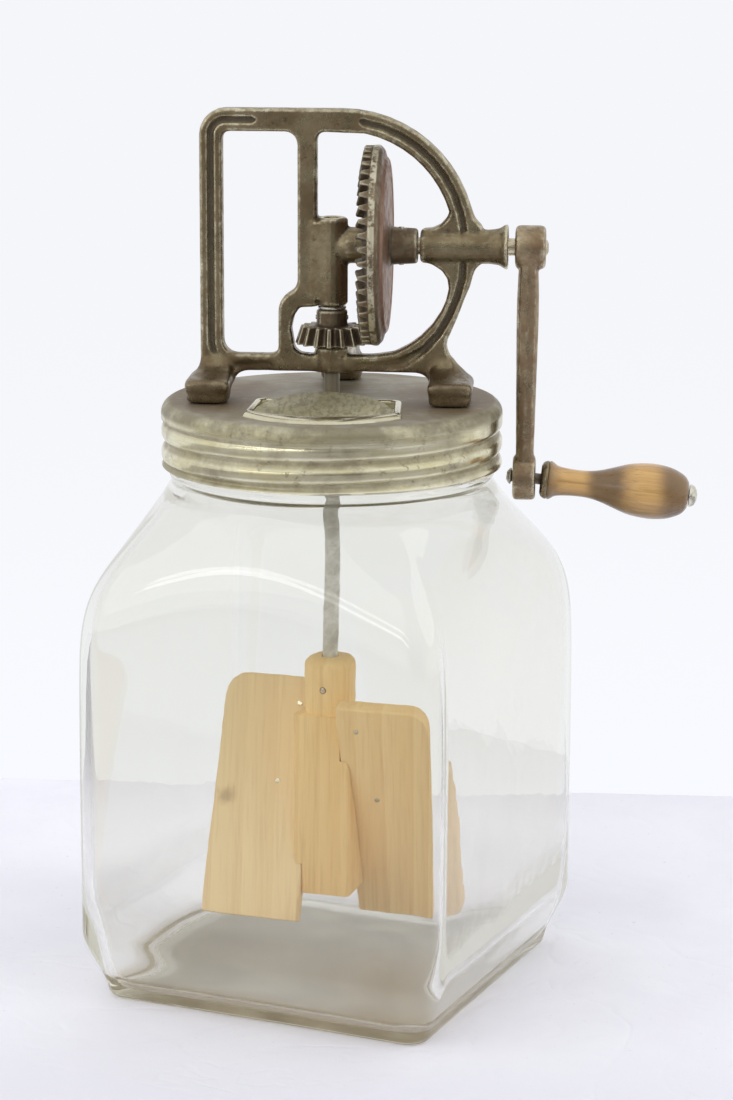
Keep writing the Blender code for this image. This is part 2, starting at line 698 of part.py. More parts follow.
def left_window():
    """Opening between the left bar and the post, with the S-bend above the loop bar."""
    left = -FRAME_LEFT + FRAME_BAR
    top = FRAME_TOP - FRAME_BAR
    bend_high = UPRIGHT_FOOT + BEND_HIGH
    bend_low = UPRIGHT_FOOT + BEND_LOW
    corners = [(left, DECK_TOP, FRAME_CORNER / 2), (left, top, WINDOW_CORNER),
               (-POST_LEFT, top, POST_CORNER), (-POST_LEFT, bend_high, BEND_ROUND_HIGH),
               (-LOOP_LEFT, bend_low, BEND_ROUND_LOW), (-LOOP_LEFT, DECK_TOP, WINDOW_CORNER)]
    return fillet(corners, 4)


def bow_window():
    """Opening of the bow, which takes the gear and, lower left, the pinion."""
    top = FRAME_TOP - FRAME_BAR
    centre = (BOW_CENTRE, FRAME_TOP - BOW_RADIUS)
    points = arc(centre, BOW_RADIUS - BOW_BAR, math.radians(78), math.radians(17), 9)
    edge_shares = ((0.779, 0.199), (0.736, 0.151), (0.676, 0.123), (0.602, 0.115), (0.602, -0.131),
                   (0.676, -0.151), (0.746, -0.195), (0.789, -0.258), (0.799, -0.330), (0.779, -0.421),
                   (0.742, -0.505), (0.676, -0.604), (0.590, -0.694), (0.497, -0.761), (0.392, -0.815),
                   (0.239, -0.837), (-0.243, -0.837), (-0.318, -0.827), (-0.356, -0.795),
                   (-0.382, -0.646), (-0.362, -0.549), (-0.318, -0.485))
    points += bow_points(edge_shares)
    shelf = UPRIGHT_FOOT - FRAME_EDGE / 2
    right = -POST_RIGHT
    step = WINDOW_CORNER
    return points + [(right, shelf), (right, top - step), (right + step * 0.3, top - step * 0.3),
                     (right + step, top)]


def plate(name, outer, holes, half_depth, edge, material):
    """A flat plate with openings and rounded edges, drawn as a filled curve and stood upright."""
    curve = bpy.data.curves.new(name, "CURVE")
    curve.dimensions = "2D"
    curve.fill_mode = "BOTH"
    curve.extrude = half_depth - edge
    curve.bevel_depth = edge
    curve.bevel_resolution = 0
    curve.offset = -edge
    for outline in [outer] + holes:
        spline = curve.splines.new("POLY")
        spline.points.add(len(outline) - 1)
        for point, (a, b) in zip(spline.points, outline):
            point.co = (a, b, 0, 1)
        spline.use_cyclic_u = True
    drawing = bpy.data.objects.new(name, curve)
    bpy.context.scene.collection.objects.link(drawing)
    bpy.context.view_layer.update()
    evaluated = drawing.evaluated_get(bpy.context.evaluated_depsgraph_get())
    mesh = bpy.data.meshes.new_from_object(evaluated)
    bpy.data.objects.remove(drawing)
    builder = bmesh.new()
    builder.from_mesh(mesh)
    bpy.data.meshes.remove(mesh)
    bmesh.ops.remove_doubles(builder, verts=builder.verts, dist=MERGE)
    return add_object(name, builder, material, turn=FACE_FRONT)


def channel(path, face):
    """A tapered groove along (x, z, half width) points, on the front (-1) or back (1) face."""
    sections = []
    floor = face * (FRAME_HALF_DEPTH - CHANNEL_DEPTH)
    above = face * (FRAME_HALF_DEPTH + CHANNEL_DEPTH)
    for index, (x, z, half) in enumerate(path):
        before = Vector(path[max(index - 1, 0)][:2])
        after = Vector(path[min(index + 1, len(path) - 1)][:2])
        along = (after - before).normalized()
        side = Vector((-along.y, along.x))
        low = half - min(CHANNEL_SLOPE, half / 2)
        high = half + CHANNEL_SLOPE
        sections.append([(x + side.x * reach, y, z + side.y * reach) for reach, y in
                         ((-low, floor), (low, floor), (high, above), (-high, above))])
    return loft(sections)


def channel_paths():
    """Middle lines of the grooves between the twin beads of the outer bars."""
    half = CHANNEL_HALF
    left = -FRAME_LEFT + BEAD
    top = FRAME_TOP - BEAD
    bend = FRAME_CORNER - BEAD
    deck = DECK_Z + CHANNEL_HALF * 1.3
    turn = FRAME_CORNER * 0.9
    narrow = half / 4
    end = -LOOP_LEFT - PAD_TAPER
    first = [(end, deck, narrow), (end - PAD_TAPER, deck, half * 1.6),
             (end - PAD_TAPER * 7, deck, half * 1.5)]
    first += [(a, b, half) for a, b in arc((left + turn, deck + turn), turn, -math.pi / 2, -math.pi, 4)]
    first += [(a, b, half) for a, b in arc((left + bend, top - bend), bend, math.pi, math.pi / 2, 5)]
    first += [(-PAD_LEFT - PAD_TAPER, top, half), (-PAD_LEFT, top, narrow)]
    centre = (BOW_CENTRE, FRAME_TOP - BOW_RADIUS)
    middle = BOW_RADIUS - BEAD
    start = math.pi / 2 - (PAD_RIGHT + PAD_TAPER - BOW_CENTRE) / middle
    second = [(PAD_RIGHT, top, narrow)]
    second += [(a, b, half) for a, b in arc(centre, middle, start, math.radians(6), 8)]
    slide_shares = ((0.907, -0.111), (0.899, -0.250), (0.861, -0.394), (0.801, -0.537), (0.722, -0.672),
                    (0.622, -0.787), (0.477, -0.883), (0.318, -0.926), (0.179, -0.936), (0.100, -0.936),
                    (0.075, -0.936))
    width_shares = (1.0, 1.0, 1.0, 1.0, 1.0, 1.1, 1.4, 1.6, 1.6, 1.6, 0.3)
    third = [(a, b, half * wide) for (a, b), wide in zip(bow_points(slide_shares), width_shares)]
    return first, second, third


def foot_sections(x, y):
    """Stack of sections for a front foot: a rounded pad under a ledge that sweeps up into the bar."""
    back = FRAME_HALF_DEPTH - FRAME_EDGE / 2
    front = y - FOOT_HALF_DEEP
    inner = FOOT_X - FOOT_HALF_WIDE
    outer = FOOT_X + FOOT_HALF_WIDE

    def section(front_edge, inner_edge, outer_edge, height):
        middle_x = math.copysign((inner_edge + outer_edge) / 2, x)
        middle_y = (front_edge + back) / 2
        half = (outer_edge - inner_edge) / 2
        return rectangle_section((middle_x, middle_y), half, back - middle_y, FOOT_LEDGE_CORNER, height,
                                 FOOT_STEPS)

    lip = FOOT_LIP
    sections = pad_sections(x, y, LEDGE_Z - lip)
    sections += [section(front - lip, inner - lip, outer + lip, LEDGE_Z + lip),
                 section(front - lip, inner - lip, outer + lip, LEDGE_TOP - lip * 2),
                 section(front + lip * 2, inner + lip, outer - lip, LEDGE_TOP)]
    left_shares = ((0.62, 0.968, 0.08), (0.38, 0.950, 0.22), (0.24, 0.938, 0.46), (0.155, 0.928, 0.90))
    right_shares = ((0.62, 0.966, 0.08), (0.38, 0.940, 0.22), (0.24, 0.905, 0.46), (0.155, 0.860, 0.90))
    for reach, across, up in left_shares if x < 0 else right_shares:
        height = LEDGE_TOP + (DECK_TOP - LEDGE_TOP) * up
        sections.append(section(front * reach, inner, outer * across, height))
    return sections


def pad_sections(x, y, top):
    """The lowest part of a foot: a pad with rounded corners that stands on the lid."""
    return [rectangle_section((x, y), FOOT_HALF_WIDE - draw, FOOT_HALF_DEEP - draw, FOOT_PAD_CORNER, height,
                              FOOT_STEPS)
            for draw, height in ((FOOT_LIP, FOOT_Z), (0, FOOT_Z + FOOT_LIP), (0, top))]


def rear_leg():
    """Side view of the rear leg, drawn in Y and Z: out from the deck and down to its own pad."""
    front = REAR_FOOT_Y - FOOT_HALF_DEEP
    back = REAR_FOOT_Y + FOOT_HALF_DEEP
    return [(0, DECK_Z + FRAME_EDGE), (front - LEG_DROP * 4, DECK_Z - LEG_DROP / 2),
            (front - LEG_DROP, LEDGE_TOP - LEG_DROP * 2),
            (front - FOOT_LIP, LEDGE_Z + LEG_DROP / 2), (back, LEDGE_Z + LEG_DROP / 2), (back, LEDGE_TOP),
            (back - LEG_DROP * 3, DECK_TOP - LEG_DROP * 2), (front, DECK_TOP - LEG_DROP),
            (0, DECK_TOP - LEG_DROP)]


def build_frame(iron, lid_carrier):
    outer = frame_outer()
    frame = plate("cast_frame", outer, [left_window(), bow_window()], FRAME_HALF_DEPTH, FRAME_EDGE, iron)
    for path in channel_paths():
        for face in (-1, 1):
            combine(frame, add_object("groove", channel(path, face), iron), "DIFFERENCE")
    for side, (x, y) in foot_places().items():
        if side == "rear":
            leg = prism(rear_leg(), -LEG_HALF_WIDE, LEG_HALF_WIDE)
            turn = Matrix(((0, 0, 1), (1, 0, 0), (0, 1, 0)))
            combine(frame, add_object("leg", leg, iron, turn=turn), "UNION")
            sections = pad_sections(x, y, LEDGE_Z)
            ledge = ((FOOT_LIP, LEDGE_Z + FOOT_LIP), (FOOT_LIP, LEDGE_TOP - FOOT_LIP), (0, LEDGE_TOP))
            sections += [rectangle_section((x, y), FOOT_HALF_WIDE + lip, FOOT_HALF_DEEP + lip,
                                           FOOT_LEDGE_CORNER, height, FOOT_STEPS) for lip, height in ledge]
            combine(frame, add_object("pad", loft(sections), iron), "UNION")
        else:
            combine(frame, add_object("foot", loft(foot_sections(x, y)), iron), "UNION")
    upright = lathe([(UPRIGHT_RADIUS - FRAME_EDGE, UPRIGHT_FOOT),
                     (UPRIGHT_RADIUS, UPRIGHT_FOOT + FRAME_EDGE), (UPRIGHT_RADIUS, UPRIGHT_Z - FRAME_EDGE),
                     (UPRIGHT_RADIUS - FRAME_EDGE, UPRIGHT_Z)], 20, closed=False)
    combine(frame, add_object("upright", upright, iron), "UNION")
    cheek = [(-CHEEK_LEFT, -FRAME_HALF_DEPTH + FRAME_EDGE / 4), (-CHEEK_RIGHT, -CHEEK_DEPTH),
             (0, -CHEEK_DEPTH), (0, CHEEK_DEPTH), (-CHEEK_RIGHT, CHEEK_DEPTH),
             (-CHEEK_LEFT, FRAME_HALF_DEPTH - FRAME_EDGE / 4)]
    cheek_foot = UPRIGHT_FOOT + FRAME_EDGE * 3
    combine(frame, add_object("cheek", prism(cheek, cheek_foot, UPRIGHT_Z - FRAME_EDGE * 2), iron), "UNION")
    lower = lathe([(LOWER_BOSS_RADIUS - FRAME_EDGE, DECK_Z - FRAME_EDGE / 2),
                   (LOWER_BOSS_RADIUS, DECK_Z + FRAME_EDGE),
                   (LOWER_BOSS_RADIUS, LOWER_BOSS_TOP - FRAME_EDGE),
                   (LOWER_BOSS_RADIUS - FRAME_EDGE, LOWER_BOSS_TOP)], 20, closed=False)
    combine(frame, add_object("lower", lower, iron), "UNION")
    blind = lathe([(CHEEK_DEPTH - FRAME_EDGE / 2, BLIND_START),
                   (UPRIGHT_RADIUS, BLIND_START + FRAME_EDGE * 3),
                   (BLIND_RADIUS, BLIND_START + FRAME_EDGE * 7), (BLIND_RADIUS, BLIND_END - FRAME_EDGE),
                   (BLIND_RADIUS - FRAME_EDGE, BLIND_END)], 20, closed=False)
    combine(frame, add_object("blind", blind, iron, (0, 0, AXIS_Z), ALONG_X), "UNION")
    flare = TUBE_END - TUBE_FLARE
    tube = lathe([(TUBE_RADIUS - FRAME_EDGE, TUBE_START), (TUBE_RADIUS, TUBE_START + FRAME_EDGE),
                  (TUBE_RADIUS, flare), (TUBE_RADIUS + TUBE_FLARE * 0.07, flare + TUBE_FLARE * 0.5),
                  (TUBE_FLARE_RADIUS, TUBE_END - FRAME_EDGE), (TUBE_FLARE_RADIUS, TUBE_END)],
                 20, closed=False)
    combine(frame, add_object("tube", tube, iron, (0, 0, AXIS_Z), ALONG_X), "UNION")
    shaft_bore = rod(SHAFT_RADIUS + GAP, DECK_Z - OVERRUN, UPRIGHT_Z + OVERRUN)
    combine(frame, add_object("bore", shaft_bore, iron), "DIFFERENCE")
    crank_bore = CRANK_RADIUS + GAP
    blind_bore = rod(crank_bore, CRANK_START - GAP, BLIND_END + OVERRUN)
    combine(frame, add_object("bore", blind_bore, iron, (0, 0, AXIS_Z), ALONG_X), "DIFFERENCE")
    tube_bore = rod(crank_bore, TUBE_START - OVERRUN, TUBE_END + OVERRUN)
    combine(frame, add_object("bore", tube_bore, iron, (0, 0, AXIS_Z), ALONG_X), "DIFFERENCE")
    for x, y in foot_places().values():
        hole = rod(RIVET_RADIUS + GAP, FOOT_Z - OVERRUN, FOOT_Z + RIVET_BITE + GAP, 12)
        combine(frame, add_object("hole", hole, iron, (x, y, 0)), "DIFFERENCE")
    attach(frame, lid_carrier)
    return frame


def build_rivets(steel, lid_carrier):
    """Round-head rivets, put up through the lid into each foot."""
    under = -LID_PLATE - GAP * 2
    profile = [(RIVET_RADIUS, RIVET_BITE), (RIVET_RADIUS, under), (RIVET_HEAD_RADIUS, under),
               (RIVET_HEAD_RADIUS * 0.94, under - RIVET_HEAD * 0.4),
               (RIVET_HEAD_RADIUS * 0.65, under - RIVET_HEAD * 0.8),
               (RIVET_HEAD_RADIUS * 0.2, under - RIVET_HEAD)]
    for side, (x, y) in foot_places().items():
        rivet = add_object("frame_rivet_" + side, lathe(profile, 12, closed=False), steel, (x, y, FOOT_Z))
        attach(rivet, lid_carrier)


# Bevel gears

def tooth_pattern(teeth, start):
    """Angles of four corners for each tooth, and whether each corner is on the crest."""
    pitch = 2 * math.pi / teeth
    corners = []
    for tooth in range(teeth):
        middle = start + tooth * pitch
        for share, crest in ((-TOOTH_ROOT_SHARE, False), (-TOOTH_CREST_SHARE, True),
                             (TOOTH_CREST_SHARE, True), (TOOTH_ROOT_SHARE, False)):
            corners.append((middle + share * pitch / 2, crest))
    return corners


def build_drive_gear(iron, crank_carrier):
    """Large bevel gear: crown teeth on its left face, a dished web and a long hub, turned about Z."""
    corners = tooth_pattern(GEAR_TEETH, math.pi / GEAR_TEETH)
    inner = GEAR_RADIUS - GEAR_TOOTH_LENGTH
    rim = GEAR_RADIUS + GEAR_RIM
    rim_front = GEAR_CREST_OUTER + GEAR_TOOTH_OUTER + GEAR_RIM

    def ring(radius, crest_height, tooth=0.0):
        return [(radius * math.cos(a), radius * math.sin(a), crest_height + (0.0 if crest else tooth))
                for a, crest in corners]

    rim_back = rim_front + GEAR_RIM_WIDTH
    rows = [ring(inner, GEAR_WEB_FRONT + GEAR_RIM * 3),
            ring(inner, GEAR_CREST_INNER, GEAR_TOOTH_INNER),
            ring(GEAR_RADIUS, GEAR_CREST_OUTER, GEAR_TOOTH_OUTER),
            ring(GEAR_RADIUS, rim_front + GEAR_RIM * 2)]
    gear = add_object("drive_gear", loft(rows, closed=True), iron, (0, 0, AXIS_Z), ALONG_X)
    bore = CRANK_RADIUS + GAP
    back = rim_back + GEAR_RIM_CHAMFER
    crown = back + GEAR_DISH
    web_radius = GEAR_WEB_RADIUS
    profile = [(rim, rim_front), (rim, rim_back), (rim - GEAR_RIM_CHAMFER, back)]
    web_shares = ((0.95, 0.30), (0.91, 0.85), (0.87, 0.85), (0.83, 0.55), (0.74, 0.80))
    profile += [(web_radius * a, back + GEAR_DISH * b) for a, b in web_shares]
    profile += [(GEAR_HUB_RADIUS + GEAR_WEB_THICK, crown),
                (GEAR_HUB_RADIUS + GEAR_RIM * 2, crown + GEAR_RIM * 3),
                (GEAR_HUB_RADIUS, GEAR_HUB_END - GEAR_RIM * 2),
                (GEAR_HUB_RADIUS - GEAR_RIM * 2, GEAR_HUB_END),
                (bore, GEAR_HUB_END), (bore, GEAR_HUB_START), (GEAR_HUB_RADIUS, GEAR_HUB_START),
                (GEAR_HUB_RADIUS + GEAR_RIM * 3, crown - GEAR_WEB_THICK),
                (web_radius * 0.76, crown - GEAR_WEB_THICK),
                (inner + GEAR_RIM * 3, rim_front)]
    web = add_object("web", lathe(profile, GEAR_WEB_STEPS), iron, (0, 0, AXIS_Z), ALONG_X)
    combine(gear, web, "UNION")
    hole_reach = GEAR_HUB_RADIUS + OVERRUN
    hole = add_object("hole", rod(GEAR_PIN_RADIUS + GAP, -hole_reach, hole_reach, 14), iron,
                      (GEAR_PIN_AT, 0, AXIS_Z))
    combine(gear, hole, "DIFFERENCE")
    attach(gear, crank_carrier)
    return gear


def build_pinion(iron, dasher_carrier):
    """Small bevel pinion whose teeth widen downwards, with a hub above."""
    corners = tooth_pattern(PINION_TEETH, 0)

    def ring(crest_radius, height):
        return [((crest_radius - (0.0 if crest else PINION_TOOTH_DEPTH)) * math.cos(a),
                 (crest_radius - (0.0 if crest else PINION_TOOTH_DEPTH)) * math.sin(a), height)
                for a, crest in corners]

    pinion = add_object("pinion", loft([ring(PINION_CREST_BIG, PINION_BIG_Z),
                                        ring(PINION_CREST_SMALL, PINION_SMALL_Z)]), iron)
    hub = lathe([(PINION_HUB_RADIUS, PINION_BIG_Z + GAP),
                 (PINION_HUB_RADIUS, PINION_TOP - GAP * 2), (PINION_HUB_RADIUS - GAP * 2, PINION_TOP)],
                28, closed=False)
    combine(pinion, add_object("hub", hub, iron), "UNION")
    bore = rod(SHAFT_RADIUS + GAP, PINION_BIG_Z - OVERRUN, PINION_TOP + OVERRUN)
    combine(pinion, add_object("bore", bore, iron), "DIFFERENCE")
    reach = PINION_HUB_RADIUS + OVERRUN
    hole = add_object("hole", rod(PINION_PIN_RADIUS + GAP, -reach, reach, 12), iron,
                      (0, 0, pinion_pin_height()), ALONG_X)
    combine(pinion, hole, "DIFFERENCE")
    attach(pinion, dasher_carrier)
    return pinion


def pinion_pin_height():
    return PINION_TOP - PINION_HUB_HEIGHT / 2


def build_dasher_shaft(steel, dasher_carrier):
    end = SHAFT_RADIUS / 4
    profile = [(SHAFT_RADIUS - end, SHAFT_FOOT), (SHAFT_RADIUS, SHAFT_FOOT + end),
               (SHAFT_RADIUS, SHAFT_TOP - end), (SHAFT_RADIUS - end, SHAFT_TOP)]
    shaft = add_object("dasher_shaft", lathe(profile, 20, closed=False), steel)
    reach = SHAFT_RADIUS + OVERRUN
    holes = ((PINION_PIN_RADIUS, (0, 0, pinion_pin_height()), ALONG_X),
             (NECK_PIN_RADIUS, (0, 0, NECK_PIN_AT), neck_pin_turn()))
    for radius, place, turn in holes:
        hole = add_object("hole", rod(radius + GAP, -reach, reach, 12), steel, place, turn)
        combine(shaft, hole, "DIFFERENCE")
    pin_half = PINION_HUB_RADIUS + GAP
    pin = add_object("pinion_pin", rod(PINION_PIN_RADIUS, -pin_half, pin_half, 12), steel,
                     (0, 0, pinion_pin_height()), ALONG_X)
    bore = SHAFT_RADIUS + GAP
    washer = add_object("thrust_washer", lathe([(bore, WASHER_Z), (WASHER_RADIUS, WASHER_Z),
                                                (WASHER_RADIUS, WASHER_Z + WASHER_THICK),
                                                (bore, WASHER_Z + WASHER_THICK)], 20), steel)
    for item in (shaft, pin, washer):
        attach(item, dasher_carrier)


# Wooden dasher

def neck_pin_turn():
    """The pin through the neck lies level, square to the paddles."""
    return Matrix.Rotation(PADDLE_TURN, 4, "Z") @ FACE_FRONT


def paddle_matrix(turn):
    """Frame of a paddle: X out from the shaft, Y up the slant, Z through the board."""
    out = Vector((math.cos(turn), math.sin(turn), 0))
    round_way = Vector((-math.sin(turn), math.cos(turn), 0))
    slant = UP * math.cos(PADDLE_TILT) - round_way * math.sin(PADDLE_TILT)
    through = out.cross(slant)
    return Matrix((out, slant, through)).transposed()


def build_dasher(pale_wood, core_wood, steel, dasher_carrier):
    block = rectangle_section((0, 0), CORE_HALF, CORE_HALF, CORE_EDGE, CORE_FOOT, 1)
    outline = [(a, b) for a, b, _ in block]
    core = add_object("dasher_core", prism(outline, CORE_FOOT, CORE_TOP), core_wood,
                      turn=Matrix.Rotation(PADDLE_TURN, 4, "Z"))
    crown = arc((NECK_RADIUS - NECK_ROUND, NECK_TOP - NECK_ROUND), NECK_ROUND, 0, math.pi / 2, 3)
    neck = lathe([(NECK_RADIUS, CORE_TOP - CORE_EDGE)] + crown, 20, closed=False)
    combine(core, add_object("neck", neck, core_wood), "UNION")
    bore = rod(SHAFT_RADIUS + GAP, SHAFT_FOOT - GAP, NECK_TOP + OVERRUN)
    combine(core, add_object("bore", bore, core_wood), "DIFFERENCE")
    reach = NECK_RADIUS + OVERRUN
    hole = add_object("hole", rod(NECK_PIN_RADIUS + GAP, -reach, reach, 12), core_wood, (0, 0, NECK_PIN_AT),
                      neck_pin_turn())
    combine(core, hole, "DIFFERENCE")
    pin = add_object("dasher_pin", rod(NECK_PIN_RADIUS, -NECK_RADIUS, NECK_RADIUS, 12), steel,
                     (0, 0, NECK_PIN_AT), neck_pin_turn())
    attach(pin, dasher_carrier)
    half = PADDLE_LENGTH / 2
    corners = [(PADDLE_INNER, -half, PADDLE_CORNER), (PADDLE_OUTER, -half, PADDLE_CORNER),
               (PADDLE_OUTER, half, PADDLE_SHOULDER), (PADDLE_INNER, half, PADDLE_CORNER)]
    board = fillet(corners, 4)
    slot_half = half + OVERRUN
    slot_board = [(PADDLE_INNER - GAP, -slot_half), (PADDLE_OUTER, -slot_half), (PADDLE_OUTER, slot_half),
                  (PADDLE_INNER - GAP, slot_half)]
    thick = PADDLE_THICK / 2
    for side, turn in (("right", PADDLE_TURN), ("left", PADDLE_TURN + math.pi)):
        matrix = paddle_matrix(turn)
        origin = (0, 0, PADDLE_MIDDLE)
        slot = add_object("slot", prism(slot_board, -thick - GAP, thick + GAP), core_wood, origin, matrix)
        combine(core, slot, "DIFFERENCE")
        paddle = add_object("dasher_paddle_" + side, prism(board, -thick, thick), pale_wood, origin, matrix)
        attach(paddle, dasher_carrier)
    attach(core, dasher_carrier)


# Crank

def build_crank_shaft(steel, crank_carrier):
    end = BOSS_START + BOSS_LENGTH
    bevel = CRANK_RADIUS / 5
    profile = [(CRANK_RADIUS - bevel, CRANK_START), (CRANK_RADIUS, CRANK_START + bevel),
               (CRANK_RADIUS, end - bevel), (CRANK_RADIUS * 0.75, end + CRANK_RIVET * 0.4),
               (CRANK_RADIUS * 0.5, end + CRANK_RIVET)]
    shaft = add_object("crank_shaft", lathe(profile, 20, closed=False), steel, (0, 0, AXIS_Z), ALONG_X)
    reach = CRANK_RADIUS + OVERRUN
    pin_spot = (GEAR_PIN_AT, 0, AXIS_Z)
    hole = add_object("hole", rod(GEAR_PIN_RADIUS + GAP, -reach, reach, 14), steel, pin_spot)
    combine(shaft, hole, "DIFFERENCE")
    half = GEAR_HUB_RADIUS + GEAR_PIN_PROUD
    pin = add_object("gear_pin", rod(GEAR_PIN_RADIUS, -half, half, 14), steel, pin_spot)
    for item in (shaft, pin):
        attach(item, crank_carrier)


def arm_sections():
    """Rounded bar between the boss and the eye, swelling a little below the boss."""
    sections = []
    table_shares = ((0.06, 0.0, 1.0), (0.13, 0.35, 0.95), (0.20, 0.85, 0.88), (0.32, 1.0, 0.80),
                    (0.60, 0.72, 0.62), (0.88, 0.1, 0.2), (0.96, 0.0, 0.0))
    for down, swell, wide in table_shares:
        height = AXIS_Z - THROW * down
        thin = ARM_TOP_THICK + (ARM_FOOT_THICK - ARM_TOP_THICK) * down
        thick = thin + (ARM_MID_THICK - thin) * swell
        width = ARM_FOOT_WIDE + (ARM_TOP_WIDE - ARM_FOOT_WIDE) * wide
        centre = ARM_CENTRE_TOP + (ARM_CENTRE_FOOT - ARM_CENTRE_TOP) * down
        corner = thick * ARM_CORNER_SHARE
        sections.append(rectangle_section((centre, 0), thick / 2, width / 2, corner, height))
    return sections


def rounded_drum(radius, start, length, edge, steps=24):
    """Profile of a cylinder along Z with rounded rims."""
    end = start + length
    profile = [(radius - edge * 1.4, start), (radius - edge * 0.4, start + edge * 0.4),
               (radius, start + edge * 1.4), (radius, end - edge * 1.4),
               (radius - edge * 0.4, end - edge * 0.4), (radius - edge * 1.4, end)]
    return lathe(profile, steps, closed=False)


def droop_matrix():
    """Turn from Z to the grip's axis: along X and a little down."""
    return Matrix.Rotation(math.radians(90) + DROOP, 4, "Y")


def build_crank_arm(iron, crank_carrier):
    arm = add_object("crank_arm", loft(arm_sections()), iron)
    boss = rounded_drum(BOSS_RADIUS, BOSS_START, BOSS_LENGTH, BOSS_ROUND)
    combine(arm, add_object("boss", boss, iron, (0, 0, AXIS_Z), ALONG_X), "UNION")
    eye = rounded_drum(EYE_RADIUS, EYE_START, EYE_LENGTH, EYE_ROUND)
    combine(arm, add_object("eye", eye, iron, (0, 0, EYE_Z), ALONG_X), "UNION")
    bore = rod(CRANK_RADIUS + GAP, BOSS_START - OVERRUN, BOSS_START + BOSS_LENGTH + OVERRUN)
    combine(arm, add_object("bore", bore, iron, (0, 0, AXIS_Z), ALONG_X), "DIFFERENCE")
    hole = rod(SPINDLE_RADIUS + GAP, -EYE_LENGTH, EYE_LENGTH, 16)
    combine(arm, add_object("hole", hole, iron, (EYE_MIDDLE, 0, EYE_Z), droop_matrix()), "DIFFERENCE")
    attach(arm, crank_carrier)


def grip_places():
    ferrule_end = FERRULE_START + FERRULE_LENGTH
    grip_start = ferrule_end + GAP
    return ferrule_end, grip_start, grip_start + GRIP_LENGTH


def build_grip(wood, iron, steel, crank_carrier, grip_carrier):
    ferrule_end, grip_start, grip_end = grip_places()
    origin = (EYE_MIDDLE, 0, EYE_Z)
    turn = droop_matrix()
    head = -EYE_LENGTH / 2 - GAP * 2
    cap_foot = grip_end + GAP
    spindle_profile = [(SPINDLE_HEAD_RADIUS * 0.5, head - SPINDLE_HEAD),
                       (SPINDLE_HEAD_RADIUS, head - SPINDLE_HEAD * 0.3), (SPINDLE_HEAD_RADIUS, head),
                       (SPINDLE_RADIUS, head), (SPINDLE_RADIUS, cap_foot + GRIP_CAP_LENGTH / 2)]
    spindle = add_object("grip_spindle", lathe(spindle_profile, 20, closed=False), steel, origin, turn)
    bore = SPINDLE_RADIUS + GAP
    cap_bore = cap_foot + GRIP_CAP_LENGTH / 2 + GAP
    cap_profile = [(bore, cap_bore), (bore, cap_foot), (GRIP_CAP_RADIUS, cap_foot),
                   (GRIP_CAP_RADIUS * 0.95, cap_foot + GRIP_CAP_LENGTH * 0.4),
                   (GRIP_CAP_RADIUS * 0.7, cap_foot + GRIP_CAP_LENGTH * 0.8),
                   (GRIP_CAP_RADIUS * 0.25, cap_foot + GRIP_CAP_LENGTH)]
    cap = add_object("grip_end_cap", lathe(cap_profile, 20, closed=False), steel, origin, turn)
    ferrule_profile = [(bore, FERRULE_START), (FERRULE_SMALL, FERRULE_START),
                       (FERRULE_LARGE, ferrule_end - FERRULE_LENGTH / 4), (FERRULE_LARGE, ferrule_end),
                       (bore, ferrule_end)]
    ferrule = add_object("grip_ferrule", lathe(ferrule_profile, 20), iron, origin, turn)
    turned_shares = ((0.0, 0.69), (0.016, 0.70), (0.03, 0.66), (0.07, 0.545), (0.16, 0.49), (0.25, 0.48),
                     (0.32, 0.515), (0.39, 0.60), (0.48, 0.755), (0.57, 0.905), (0.665, 0.985), (0.76, 1.0),
                     (0.855, 0.94), (0.93, 0.80), (0.975, 0.65), (1.0, 0.50))
    grip_profile = [(bore, grip_start)]
    grip_profile += [(GRIP_RADIUS * across, grip_start + GRIP_LENGTH * along)
                     for along, across in turned_shares]
    grip_profile.append((bore, grip_end))
    grip = add_object("wooden_grip", lathe(grip_profile, 24), wood, origin, turn)
    for item in (spindle, cap):
        attach(item, crank_carrier)
    for item in (ferrule, grip):
        attach(item, grip_carrier)


